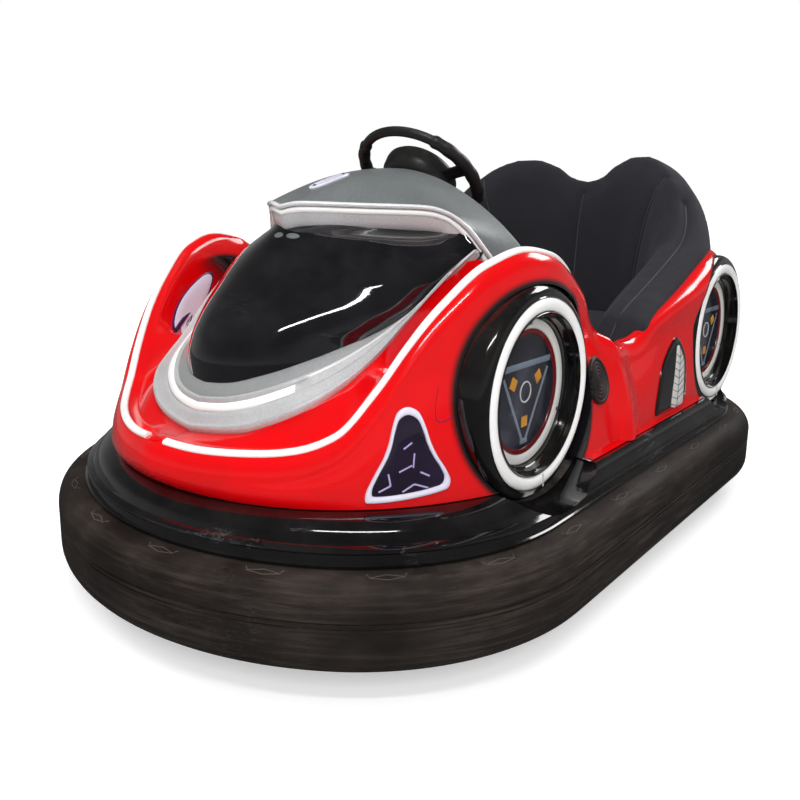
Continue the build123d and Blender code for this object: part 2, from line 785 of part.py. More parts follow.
pedal_x = -120.0
pedal_y = -280.0
pedal_width = 70.0
with BuildPart() as accelerator_pedal:
    with BuildSketch(Plane.YZ.offset(pedal_x - pedal_width / 2)):
        with BuildLine():
            Polyline(
                (pedal_y - 50, pan_top + seat_gap),
                (pedal_y + 60, pan_top + seat_gap),
                (pedal_y + 60, pan_top + 12),
                (pedal_y - 40, pan_top + 72),
                (pedal_y - 50, pan_top + 66),
                close=True,
            )
        make_face()
    extrude(amount=pedal_width)
finish(accelerator_pedal.part, "accelerator_pedal")

# ---------------------------------------------------------------- steering, fixed parts
bridge_half = well_radius + 22.0
bridge_depth = 110.0
foot_reach = 30.0
bridge_play = 5.0
with BuildPart() as swivel_bridge:
    with BuildSketch(Plane.XZ.offset(-drive_y - bridge_depth / 2)):
        with BuildLine():
            Polyline(
                (-bridge_half - foot_reach, pan_top + seat_gap),
                (-bridge_half - foot_reach, pan_top + bridge_sheet),
                (-bridge_half, pan_top + bridge_sheet),
                (-bridge_half, bridge_top),
                (bridge_half, bridge_top),
                (bridge_half, pan_top + bridge_sheet),
                (bridge_half + foot_reach, pan_top + bridge_sheet),
                (bridge_half + foot_reach, pan_top + seat_gap),
                (bridge_half - bridge_sheet, pan_top + seat_gap),
                (bridge_half - bridge_sheet, bridge_top - bridge_sheet),
                (-bridge_half + bridge_sheet, bridge_top - bridge_sheet),
                (-bridge_half + bridge_sheet, pan_top + seat_gap),
                close=True,
            )
        make_face()
    extrude(amount=bridge_depth)
    with Locations((0, drive_y, bridge_top)):
        Cylinder(spindle_radius + bridge_play, 4 * bridge_sheet, mode=Mode.SUBTRACT)
finish(swivel_bridge.part, "swivel_bridge")

gearbox = (90.0, 90.0, 80.0)
gearbox_bottom = knuckle_z - gearbox[2] / 2
housing_flange = 8.0
housing_radius = 38.0
with BuildPart() as swivel_housing:
    with BuildSketch(Plane.XY.offset(bridge_top + seat_gap)):
        with Locations((0, drive_y)):
            Circle(bridge_depth / 2)
    extrude(amount=housing_flange)
    with BuildSketch(Plane.XY.offset(bridge_top + seat_gap)):
        with Locations((0, drive_y)):
            Circle(housing_radius)
    extrude(amount=gearbox_bottom - seat_gap - bridge_top - seat_gap)
    with Locations((0, drive_y, bridge_top)):
        Cylinder(spindle_radius + pin_play, far, mode=Mode.SUBTRACT)
finish(swivel_housing.part, "swivel_housing")

column_plane = Plane(origin=wheel_centre, x_dir=(1, 0, 0), z_dir=column_down)
gear_nose = 76.0            # gearbox socket, along the column
gear_nose_radius = 28.0
shaft_stop = 28.0
spindle_socket = 24.0
jacket_end = column_run - gear_nose - seat_gap
with BuildPart() as steering_gearbox:
    with Locations((0, drive_y, knuckle_z)):
        Box(*gearbox)
    with BuildSketch(column_plane.offset(column_run - gear_nose)):
        Circle(gear_nose_radius)
    extrude(amount=gear_nose)
    with BuildSketch(column_plane.offset(column_run - gear_nose)):
        Circle(shaft_radius + pin_play)
    extrude(amount=gear_nose - shaft_stop, mode=Mode.SUBTRACT)
    with BuildSketch(Plane.XY.offset(gearbox_bottom)):
        with Locations((0, drive_y)):
            Circle(spindle_radius + pin_play)
    extrude(amount=spindle_socket, mode=Mode.SUBTRACT)
finish(steering_gearbox.part, "steering_gearbox")

collar = 6.0
collar_radius = 40.0
collar_start = dash_offset - seat_gap - collar
with BuildPart() as column_jacket:
    with BuildSketch(column_plane.offset(collar_start)):
        Circle(collar_radius)
    extrude(amount=collar)
    with BuildSketch(column_plane.offset(collar_start)):
        Circle(jacket_radius)
    extrude(amount=jacket_end - collar_start)
    with BuildSketch(column_plane.offset(collar_start)):
        Circle(shaft_radius + pin_play)
    extrude(amount=far, mode=Mode.SUBTRACT)
finish(column_jacket.part, "column_jacket")

# ---------------------------------------------------------------- steering, turning parts
boss_face = 8.0             # how far the boss stands above the rim's middle plane
boss_depth = 60.0
boss_taper = 35.0
spoke_height = 34.0
spoke_sheet = 10.0
rim_section = Plane(
    origin=wheel_centre, x_dir=(1, 0, 0), z_dir=(0, column_down[2], -column_down[1])
)
with BuildPart() as steering_wheel:
    with BuildSketch(column_plane):
        Circle(rim_radius - 2)
        Circle(rim_radius - 16, mode=Mode.SUBTRACT)
        SlotOverall(2 * rim_radius - 10, spoke_height)
        Circle(boss_radius + seat_gap, mode=Mode.SUBTRACT)
    extrude(amount=spoke_sheet / 2, both=True)
    with BuildSketch(rim_section):
        with Locations((rim_radius, 0)):
            Circle(rim_tube)
    revolve(axis=Axis(wheel_centre, column_down))
finish(steering_wheel.part, "steering_wheel")

with BuildPart() as steering_boss:
    with BuildSketch(column_plane.offset(-boss_face)):
        Circle(boss_radius)
    extrude(amount=boss_face + boss_depth / 2)
    with BuildSketch(column_plane.offset(boss_depth / 2)):
        Circle(boss_radius)
    extrude(amount=boss_depth / 2, taper=boss_taper)
finish(steering_boss.part, "steering_boss")

shaft_end_gap = 2.0
with BuildPart() as steering_shaft:
    with BuildSketch(column_plane.offset(boss_depth + seat_gap)):
        Circle(shaft_radius)
    extrude(amount=column_run - shaft_stop - shaft_end_gap - boss_depth - seat_gap)
finish(steering_shaft.part, "steering_shaft")

arm_inner = drive_width / 2 + 8.0
arm_sheet = 7.0
arm_half = 28.0
spindle_end_gap = 4.0
with BuildPart() as drive_fork:
    with Locations((0, drive_y, crown_bottom)):
        Box(
            2 * (arm_inner + arm_sheet),
            2 * arm_half,
            crown_sheet,
            align=(Align.CENTER, Align.CENTER, Align.MIN),
        )
    for side in (-1, 1):
        with Locations((side * (arm_inner + arm_sheet / 2), drive_y, drive_radius - arm_half)):
            Box(
                arm_sheet,
                2 * arm_half,
                crown_bottom - drive_radius + arm_half,
                align=(Align.CENTER, Align.CENTER, Align.MIN),
            )
    with Locations((0, drive_y, crown_bottom + crown_sheet)):
        Cylinder(
            spindle_radius,
            gearbox_bottom + spindle_socket - spindle_end_gap - crown_bottom - crown_sheet,
            align=(Align.CENTER, Align.CENTER, Align.MIN),
        )
    with Locations((0, drive_y, drive_radius)):
        Cylinder(axle_radius + press_play, width, rotation=(0, 90, 0), mode=Mode.SUBTRACT)
finish(drive_fork.part, "drive_fork")

nut = 8.0                   # how far each axle stands out of what carries it
with BuildPart() as drive_axle:
    with Locations((0, drive_y, drive_radius)):
        Cylinder(axle_radius, 2 * (arm_inner + arm_sheet + nut), rotation=(0, 90, 0))
finish(drive_axle.part, "drive_axle")

with BuildPart() as drive_motor:
    with Locations((0, drive_y, drive_radius)):
        Cylinder(drive_hub_radius, drive_width - 6.0, rotation=(0, 90, 0))
        Cylinder(axle_radius + 12.0, drive_width + 10.0, rotation=(0, 90, 0))
        Cylinder(axle_radius + pin_play, width, rotation=(0, 90, 0), mode=Mode.SUBTRACT)
finish(drive_motor.part, "drive_motor")

with BuildPart() as drive_tyre:
    with Locations((0, drive_y, drive_radius)):
        Cylinder(drive_radius, drive_width, rotation=(0, 90, 0))
        Cylinder(drive_hub_radius + press_play, width, rotation=(0, 90, 0), mode=Mode.SUBTRACT)
    treads = drive_tyre.edges().filter_by(GeomType.CIRCLE)
    fillet(treads.filter_by(lambda rim: rim.radius > drive_radius - 1), radius=10)
finish(drive_tyre.part, "drive_tyre")

# ---------------------------------------------------------------- rear wheels
bracket_inner = rear_width / 2 + 7
bracket_sheet = 6.0
bracket_half = 40.0
bracket_top = tube_top - seat_gap
with BuildPart() as rear_brackets:
    for side in (-1, 1):
        with Locations((side * rear_track / 2, rear_axle_y, bracket_top)):
            Box(
                2 * (bracket_inner + bracket_sheet),
                2 * bracket_half,
                bracket_sheet,
                align=(Align.CENTER, Align.CENTER, Align.MAX),
            )
        for cheek in (-1, 1):
            middle = side * rear_track / 2 + cheek * (bracket_inner + bracket_sheet / 2)
            with Locations((middle, rear_axle_y, bracket_top)):
                Box(
                    bracket_sheet,
                    bracket_half,
                    bracket_top - rear_radius + bracket_half / 2,
                    align=(Align.CENTER, Align.CENTER, Align.MAX),
                )
    with Locations((0, rear_axle_y, rear_radius)):
        Cylinder(axle_radius + press_play, width, rotation=(0, 90, 0), mode=Mode.SUBTRACT)
finish(rear_brackets.part, "rear_brackets")

with BuildPart() as rear_axles:
    for side in (-1, 1):
        with Locations((side * rear_track / 2, rear_axle_y, rear_radius)):
            Cylinder(axle_radius, 2 * (bracket_inner + bracket_sheet + nut), rotation=(0, 90, 0))
finish(rear_axles.part, "rear_axles")

for name, side in (("left", 1), ("right", -1)):
    with BuildPart() as hub:
        with Locations((side * rear_track / 2, rear_axle_y, rear_radius)):
            Cylinder(rear_hub_radius, rear_width - 8, rotation=(0, 90, 0))
            Cylinder(axle_radius + 8, rear_width + 8, rotation=(0, 90, 0))
            Cylinder(axle_radius + pin_play, width, rotation=(0, 90, 0), mode=Mode.SUBTRACT)
    finish(hub.part, f"rear_{name}_hub")
    with BuildPart() as tyre:
        with Locations((side * rear_track / 2, rear_axle_y, rear_radius)):
            Cylinder(rear_radius, rear_width, rotation=(0, 90, 0))
            Cylinder(rear_hub_radius + press_play, width, rotation=(0, 90, 0), mode=Mode.SUBTRACT)
        treads = tyre.edges().filter_by(GeomType.CIRCLE)
        fillet(treads.filter_by(lambda rim: rim.radius > rear_radius - 1), radius=7)
    finish(tyre.part, f"rear_{name}_tyre")
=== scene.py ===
"""Looks of a two-seat battery bumper car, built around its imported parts.

X is the car's left, the nose faces -Y and +Z is up; every length is in metres.
"""

import logging
import math
from contextlib import contextmanager
from dataclasses import dataclass, field
from enum import Enum
from typing import Callable, Iterator, Optional, Sequence

import bpy
import numpy as np
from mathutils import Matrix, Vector
from mathutils.bvhtree import BVHTree


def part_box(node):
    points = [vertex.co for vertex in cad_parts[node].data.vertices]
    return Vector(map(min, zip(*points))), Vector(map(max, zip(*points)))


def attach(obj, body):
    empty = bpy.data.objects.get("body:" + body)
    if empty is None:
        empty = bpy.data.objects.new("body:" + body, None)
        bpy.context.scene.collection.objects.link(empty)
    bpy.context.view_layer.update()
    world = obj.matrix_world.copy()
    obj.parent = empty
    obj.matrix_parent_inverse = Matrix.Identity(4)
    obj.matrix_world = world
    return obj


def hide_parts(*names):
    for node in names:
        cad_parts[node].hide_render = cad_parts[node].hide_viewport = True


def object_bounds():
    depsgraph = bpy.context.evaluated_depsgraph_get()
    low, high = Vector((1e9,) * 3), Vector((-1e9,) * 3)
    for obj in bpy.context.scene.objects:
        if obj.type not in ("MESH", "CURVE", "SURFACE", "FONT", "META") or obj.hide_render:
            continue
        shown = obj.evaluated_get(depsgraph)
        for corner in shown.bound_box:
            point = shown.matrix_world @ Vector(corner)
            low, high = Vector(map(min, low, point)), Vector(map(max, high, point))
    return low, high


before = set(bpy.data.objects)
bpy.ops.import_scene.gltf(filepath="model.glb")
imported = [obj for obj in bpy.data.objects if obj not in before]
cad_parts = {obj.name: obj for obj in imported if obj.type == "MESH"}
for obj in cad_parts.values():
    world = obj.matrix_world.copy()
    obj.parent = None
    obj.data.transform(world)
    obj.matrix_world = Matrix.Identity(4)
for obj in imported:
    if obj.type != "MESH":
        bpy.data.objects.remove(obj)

logging.basicConfig(level=logging.INFO, format="%(levelname)s %(message)s")
log = logging.getLogger("bumper_car")

Array = np.ndarray
Mesh = bpy.types.Object
Socket = bpy.types.NodeSocket
Painted = tuple[Socket, Socket, Socket]
Pair = tuple[float, float]
Corners = Sequence[Pair]
Rows = tuple[tuple[float, ...], ...]
Place = Callable[[Array, Array], Array]
Colour = tuple[float, float, float]

LEFTWARD = Vector((1.0, 0.0, 0.0))
UP = Vector((0.0, 0.0, 1.0))


CAR_LOW, CAR_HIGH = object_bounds()
HALF_WIDTH = CAR_HIGH.x
NOSE_TIP = CAR_LOW.y
TAIL_TIP = CAR_HIGH.y


class Body(Enum):
    """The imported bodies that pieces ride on."""

    CAR = "car"
    STEERING = "steering"


class Side(Enum):
    """Left is +X and right is -X."""

    LEFT = 1
    RIGHT = -1

    @property
    def word(self) -> str:
        """The side's name in a piece's name."""
        return self.name.lower()


# ---- workshop tools
def smoothstep(value: Array, low: float, high: float) -> Array:
    """The share of a smooth rise from 0 at low to 1 at high."""
    t = np.clip((np.asarray(value, float) - low) / (high - low), 0.0, 1.0)
    return t * t * (3.0 - 2.0 * t)


def plateau(value: Array, start: float, full: float, ends: float, gone: float) -> Array:
    """The share of a smooth rise from start to full, and of a fall from ends to gone."""
    return smoothstep(value, start, full) * (1.0 - smoothstep(value, ends, gone))


def table(rows: Sequence[Sequence[float]], column: int, at: Array) -> Array:
    """Read one column of a table whose first column rises, with smooth turns at its rows.

    Args:
        rows: The table.
        column: Which column to read.
        at: Values of the first column.

    Returns:
        The column's values there.
    """
    data = np.array(rows, float)
    x, y = data[:, 0], data[:, column]
    run = np.diff(x)
    slope = np.diff(y) / run
    tangent = np.empty_like(y)
    tangent[0], tangent[-1] = slope[0], slope[-1]
    same = slope[:-1] * slope[1:] > 0
    weight_a, weight_b = 2 * run[1:] + run[:-1], run[1:] + 2 * run[:-1]
    safe_a = np.where(same, slope[:-1], 1.0)
    safe_b = np.where(same, slope[1:], 1.0)
    tangent[1:-1] = np.where(same, (weight_a + weight_b) / (weight_a / safe_a + weight_b / safe_b), 0.0)
    at = np.clip(np.asarray(at, float), x[0], x[-1])
    i = np.clip(np.searchsorted(x, at, side="right") - 1, 0, len(x) - 2)
    t = (at - x[i]) / run[i]
    return (
        (2 * t**3 - 3 * t**2 + 1) * y[i] + (t**3 - 2 * t**2 + t) * run[i] * tangent[i]
        + (3 * t**2 - 2 * t**3) * y[i + 1] + (t**3 - t**2) * run[i] * tangent[i + 1])


def deselect() -> None:
    """Leave edit mode and select nothing."""
    if bpy.context.object and bpy.context.object.mode != "OBJECT":
        bpy.ops.object.mode_set(mode="OBJECT")
    bpy.ops.object.select_all(action="DESELECT")


def pick(*pieces: Mesh) -> None:
    """Select these pieces alone and make the first one active."""
    deselect()
    for piece in pieces:
        piece.select_set(True)
    bpy.context.view_layer.objects.active = pieces[0]


@contextmanager
def editing(piece: Mesh) -> Iterator[None]:
    """Edit a piece with all of it selected, and leave edit mode afterwards."""
    pick(piece)
    bpy.ops.object.mode_set(mode="EDIT")
    bpy.ops.mesh.select_all(action="SELECT")
    yield
    bpy.ops.object.mode_set(mode="OBJECT")


def nearest_step(share: Array, count: int) -> Array:
    """The whole steps out of count that a share from 0 to 1 stands for."""
    return np.round(share * count).astype(int)


def capped(share: Array, count: int) -> tuple[Array, Array]:
    """Columns of a bar whose first and last are drawn together.

    Args:
        share: Places along it, from 0 to 1.
        count: Faces along it.

    Returns:
        Whether each point is in such an end, and its share of the bar's length.
    """
    column = np.round(share * count)
    return (column == 0) | (column == count), np.clip(column - 1, 0, count - 2) / (count - 2)


def ellipse(width: float, height: float, count: int, middle: Pair = (0.0, 0.0)) -> list[Pair]:
    """Corners round an ellipse of these half sizes."""
    turns = [math.tau * k / count for k in range(count)]
    return [(middle[0] + width * math.cos(a), middle[1] + height * math.sin(a)) for a in turns]


def coordinates(piece: Mesh) -> Array:
    """The places of a piece's vertices."""
    flat = np.empty(len(piece.data.vertices) * 3)
    piece.data.vertices.foreach_get("co", flat)
    return flat.reshape(-1, 3)


def place_all(piece: Mesh, points: Array) -> None:
    """Move every vertex of a piece to its place."""
    piece.data.vertices.foreach_set("co", np.asarray(points, float).ravel())
    piece.data.update()


def weld(piece: Mesh, reach: float = 2e-5) -> None:
    """Merge vertices closer than reach, and point all faces outwards."""
    with editing(piece):
        bpy.ops.mesh.remove_doubles(threshold=reach)
        bpy.ops.mesh.dissolve_degenerate(threshold=1e-6)
        bpy.ops.mesh.select_all(action="SELECT")
        bpy.ops.mesh.normals_make_consistent(inside=False)


def smooth(piece: Mesh, degrees: float = 40.0) -> None:
    """Shade a piece smooth, with sharp edges above this angle."""
    pick(piece)
    bpy.ops.object.shade_smooth_by_angle(angle=math.radians(degrees))


def modify(piece: Mesh, kind: str, **settings: object) -> None:
    """Add one modifier and apply it.

    Args:
        piece: The piece to change.
        kind: Blender's name of the modifier.
        **settings: Its values.
    """
    pick(piece)
    modifier = piece.modifiers.new(kind.lower(), kind)
    for name, value in settings.items():
        setattr(modifier, name, value)
    bpy.ops.object.modifier_apply(modifier=modifier.name)


def sculpt_grid(name: str, across: int, along: int, place: Place, turn: float = 40.0) -> Mesh:
    """A primitive grid laid onto a surface, its seams and poles merged.

    Args:
        name: The piece's name.
        across: Faces in the first direction.
        along: Faces in the second direction.
        place: Gives the points of two parameters that run from 0 to 1.
        turn: Sharp edges start at this many degrees.

    Returns:
        The new piece.
    """
    deselect()
    bpy.ops.mesh.primitive_grid_add(x_subdivisions=across, y_subdivisions=along, size=1.0)
    piece = bpy.context.object
    piece.name = piece.data.name = name
    flat = coordinates(piece)
    u = np.round((flat[:, 0] + 0.5) * across) / across
    v = np.round((flat[:, 1] + 0.5) * along) / along
    place_all(piece, place(u, v))
    weld(piece)
    smooth(piece, turn)
    return piece


def spun(
    name: str, profile: Corners, centre: Vector, axis: Vector, steps: int = 96, turn: float = 35.0
) -> Mesh:
    """A turned piece: a chain of extruded vertices, spun once round an axis.

    Args:
        name: The piece's name.
        profile: Pairs of place along the axis and radius.
        centre: A point of the axis, from which the profile's places are measured.
        axis: The axis's direction.
        steps: Faces round it.
        turn: Sharp edges start at this many degrees.

    Returns:
        The new piece.
    """
    deselect()
    axis = axis.normalized()
    away = axis.orthogonal().normalized()
    points = [centre + axis * run + away * radius for run, radius in profile]
    bpy.ops.mesh.primitive_plane_add(size=0.01, location=points[0])
    piece = bpy.context.object
    piece.name = piece.data.name = name
    bpy.ops.object.transform_apply()
    with editing(piece):
        bpy.ops.mesh.merge(type="CENTER")
        for before, after in zip(points, points[1:]):
            bpy.ops.mesh.extrude_region_move(TRANSFORM_OT_translate={"value": after - before})
        bpy.ops.mesh.select_all(action="SELECT")
        bpy.ops.mesh.spin(steps=steps, angle=math.tau, center=centre, axis=axis)
    weld(piece, 1e-5)
    smooth(piece, turn)
    return piece


def swept(
    name: str, path: Array, outward: Array | Vector, section: Corners, scale: Optional[Array] = None,
    closed: bool = False, turn: float = 50.0
) -> Mesh:
    """A bar with one closed section, carried along a path.

    Args:
        name: The piece's name.
        path: Points of the path, one a row.
        outward: The section's second direction, at each point or for all of them.
        section: Corners of the section: sideways, outwards.
        scale: Size of the section at each point.
        closed: Whether the path returns to its start.
        turn: Sharp edges start at this many degrees.

    Returns:
        The new piece, with its ends drawn together if it isn't closed.
    """
    path = np.asarray(path, float)
    outward = np.broadcast_to(np.asarray(outward, float), path.shape)
    count = len(path)
    if closed:
        along = np.roll(path, -1, axis=0) - np.roll(path, 1, axis=0)
    else:
        along = np.gradient(path, axis=0)
    along /= np.linalg.norm(along, axis=1)[:, None]
    out = outward - (np.sum(outward * along, axis=1))[:, None] * along
    out /= np.linalg.norm(out, axis=1)[:, None]
    aside = np.cross(along, out)
    size = np.ones(count) if scale is None else np.asarray(scale, float)
    shape = np.array(list(section) + [section[0]], float)
    rows = count if closed else count + 2
    steps = rows if closed else rows - 1

    def place(u: Array, v: Array) -> Array:
        """Points of the bar's skin, with a pole at each open end."""
        row = nearest_step(u, steps)
        i = row % count if closed else np.clip(row - 1, 0, count - 1)
        k = nearest_step(v, len(shape) - 1)
        s = size[i].copy()
        if not closed:
            s[(row == 0) | (row == rows - 1)] = 0.0
        middle = shape[:-1].mean(axis=0)
        offset = middle + (shape[k] - middle) * s[:, None]
        offset = np.where((s == 0.0)[:, None], middle * size[i][:, None], offset)
        return path[i] + aside[i] * offset[:, :1] + out[i] * offset[:, 1:]

    return sculpt_grid(name, steps, len(shape) - 1, place, turn)


def rounded(
    width: float, height: float, count: int = 16, power: float = 2.6, lift: float = 0.0
) -> list[Pair]:
    """A soft-cornered closed section.

    Args:
        width: Its whole width.
        height: Its whole height.
        count: Its corners.
        power: 2 is an ellipse, and more is squarer.
        lift: How far its middle stands outwards.

    Returns:
        The section's corners.
    """
    corners = []
    for k in range(count):
        angle = math.tau * k / count
        c, s = math.cos(angle), math.sin(angle)
        reach = (abs(c) ** power + abs(s) ** power) ** (-1.0 / power)
        corners.append((width / 2 * reach * c, lift + height / 2 * reach * s))
    return corners


def joined(name: str, pieces: Sequence[Mesh]) -> Mesh:
    """Join pieces into one."""
    pick(*pieces)
    bpy.ops.object.join()
    piece = bpy.context.object
    piece.name = piece.data.name = name
    return piece


def settle(
    piece: Mesh, finish: "Finish", replaces: Sequence[str] = (), body: Body = Body.CAR
) -> Mesh:
    """Give a piece its finish, and let it ride.

    Args:
        piece: The finished mesh.
        finish: What its surface is.
        replaces: CAD nodes that it stands for.
        body: The body that it moves with.

    Returns:
        The piece.
    """
    piece.data.materials.clear()
    piece.data.materials.append(finish.material())
    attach(piece, body.value)
    if replaces:
        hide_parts(*replaces)
    log.info("%s: %d faces", piece.name, len(piece.data.polygons))
    return piece


# ---- outlines and skins
@dataclass(frozen=True)
class Outline:
    """A rounded plan: straight sides, and three tangent arcs at nose and tail.

    Runs and corner radii are what they exceed the half width by.
    """

    half: float
    nose: float
    tail: float
    nose_run: float
    nose_corner: float
    tail_run: float
    tail_corner: float

    def moved_in(self, inset: float) -> "Outline":
        """The same outline, moved inwards all round."""
        return Outline(
            self.half - inset, self.nose + inset, self.tail - inset, self.nose_run, self.nose_corner,
            self.tail_run, self.tail_corner)

    def _end(self, tip: float, toward: float, more_run: float, more_corner: float) -> Array:
        """Points of half an end, from its tip to the straight side."""
        run, corner = self.half + more_run, self.half + more_corner
        radius = (self.half**2 - 2 * self.half * corner + run**2) / (2 * (run - corner))
        side, centre = tip - toward * run, tip - toward * radius
        x = radius * (self.half - corner) / (radius - corner)
        y = centre + radius * (side - centre) / (radius - corner)
        a = np.linspace(0.0, math.atan2(x, toward * (y - centre)), 300)
        tip_arc = np.stack([radius * np.sin(a), centre + toward * radius * np.cos(a)], 1)
        b = np.linspace(math.atan2(toward * (y - side), x - self.half + corner), 0.0, 300)
        corner_arc = np.stack(
            [self.half - corner + corner * np.cos(b), side + toward * corner * np.sin(b)], 1)
        return np.concatenate([tip_arc, corner_arc[1:]])

    def half_line(self) -> tuple[Array, Array]:
        """The left half's points from nose to tail, and their stations along it."""
        nose = self._end(self.nose, -1.0, self.nose_run, self.nose_corner)
        tail = self._end(self.tail, 1.0, self.tail_run, self.tail_corner)[::-1]
        straight = np.linspace(nose[-1], tail[0], 60)[1:-1]
        points = np.concatenate([nose, straight, tail])
        station = np.concatenate([[0.0], np.cumsum(np.linalg.norm(np.diff(points, axis=0), axis=1))])
        return points, station

    def length(self) -> float:
        """Length of the left half."""
        return float(self.half_line()[1][-1])

    def at(self, station: Array, inset: Array | float = 0.0) -> tuple[Array, Array]:
        """Points and outward normals at stations; a negative station is on the right half.

        Args:
            station: Distances along the outline from the nose.
            inset: How far inwards the points are.

        Returns:
            The points and the normals, both in plan.
        """
        points, line = self.half_line()
        station = np.asarray(station, float)
        side = np.where(station < 0, -1.0, 1.0)
        where = np.clip(np.abs(station), 0.0, line[-1])
        tangent = np.gradient(points, line, axis=0)
        tangent /= np.linalg.norm(tangent, axis=1)[:, None]
        tx = np.interp(where, line, tangent[:, 0])
        ty = np.interp(where, line, tangent[:, 1])
        size = np.hypot(tx, ty)
        closes = where >= line[-1] - 1e-6
        normal = np.stack([np.where(closes, 0.0, ty / size * side), np.where(closes, 1.0, -tx / size)], -1)
        x = np.where(closes, 0.0, np.interp(where, line, points[:, 0]) * side)
        y = np.interp(where, line, points[:, 1])
        return np.stack([x, y], -1) - normal * np.asarray(inset)[..., None], normal


BUMPER_LINE = Outline(HALF_WIDTH, NOSE_TIP, TAIL_TIP, -0.054, -0.08, -0.117, -0.14)
BODY_LINE = Outline(HALF_WIDTH - 0.074, NOSE_TIP + 0.113, TAIL_TIP - 0.095, 0.114, 0.264, -0.086, -0.136)
SEAT_LINE = Outline(HALF_WIDTH - 0.14, NOSE_TIP, TAIL_TIP - 0.115, 0.02, 0.04, -0.07, -0.13)


def solid_point(plan: Array, height: Array | float) -> Array:
    """Plan points at their heights."""
    return np.concatenate([plan, np.broadcast_to(np.asarray(height, float), plan.shape[:1])[:, None]], 1)


# distance from the car's middle, outside all of it, from which side pieces are laid on
BESIDE = 0.75
# share of a place's own normal, against the mean one, in the direction of a laid piece's thickness
OWN_NORMAL = 0.35


class Surface:
    """A finished piece that smaller pieces are laid onto."""

    def __init__(self, *pieces: Mesh) -> None:
        """Keep the pieces' faces ready for measuring."""
        points: list[Vector] = []
        faces: list[list[int]] = []
        for piece in pieces:
            start = len(points)
            points += [v.co.copy() for v in piece.data.vertices]
            faces += [[start + i for i in p.vertices] for p in piece.data.polygons]
        self.tree = BVHTree.FromPolygons(points, faces)

    def hit(self, origin: Vector, direction: Vector) -> tuple[Vector, Vector]:
        """Where a ray meets the surface, and the normal there, turned against the ray.

        Args:
            origin: The ray's start.
            direction: Its direction.

        Returns:
            The point and the unit normal.
        """
        place, normal, _, _ = self.tree.ray_cast(origin, direction)
        if place is None:
            place, normal, _, _ = self.tree.find_nearest(origin)
        if normal.dot(direction) > 0:
            normal = -normal
        return place, normal

    def lay(self, piece: Mesh, origin: Vector, right: Vector, up: Vector = UP) -> Mesh:
        """Lay a piece modelled flat in X and Y, with its thickness in Z, onto the surface.

        Args:
            piece: The flat piece.
            origin: Where its own origin looks at the surface from.
            right: Direction of its X.
            up: Direction of its Y.

        Returns:
            The piece.
        """
        right, up = right.normalized(), up.normalized()
        toward = -right.cross(up).normalized()
        flat = coordinates(piece)
        laid = np.empty_like(flat)
        mean = Vector((0.0, 0.0, 0.0))
        found = []
        for x, y, _ in flat:
            found.append(self.hit(origin + right * x + up * y, toward))
            mean += found[-1][1]
        mean.normalize()
        for i, (place, normal) in enumerate(found):
            steady = (normal * OWN_NORMAL + mean * (1.0 - OWN_NORMAL)).normalized()
            laid[i] = place + steady * flat[i, 2]
        place_all(piece, laid)
        with editing(piece):
            bpy.ops.mesh.normals_make_consistent(inside=False)
        return piece


def plaque(name: str, outline: Corners, rows: Corners, turn: float = 40.0) -> Mesh:
    """A flat closed badge in X and Y: its outline repeated inwards, each ring at its height.

    Args:
        name: The piece's name.
        outline: Its corners, seen from outside.
        rows: Share of the outline's size and height, from the underside's middle to the top's.
        turn: Sharp edges start at this many degrees.

    Returns:
        The new piece.
    """
    corners = np.array(outline, float)
    middle = corners.mean(axis=0)
    shares = np.array(rows, float)

    def place(u: Array, v: Array) -> Array:
        """Points of the rings."""
        k = nearest_step(u, len(corners)) % len(corners)
        r = nearest_step(v, len(shares) - 1)
        plan = middle + (corners[k] - middle) * shares[r, :1]
        return np.concatenate([plan, shares[r, 1:]], 1)

    return sculpt_grid(name, len(corners), len(shares) - 1, place, turn)


def soft_outline(corners: Corners, rounding: float = 0.3, passes: int = 3) -> list[Pair]:
    """Round a closed outline by cutting its corners.

    Args:
        corners: The outline's corners.
        rounding: Share of each side that a corner takes.
        passes: How often the corners are cut.

    Returns:
        The rounded outline.
    """
    points = [np.array(c, float) for c in corners]
    share = rounding
    for _ in range(passes):
        cut: list[Array] = []
        for a, b in zip(points, points[1:] + points[:1]):
            cut += [a + (b - a) * share, b - (b - a) * share]
        points = cut
        share = 0.25
    return [(float(p[0]), float(p[1])) for p in points]


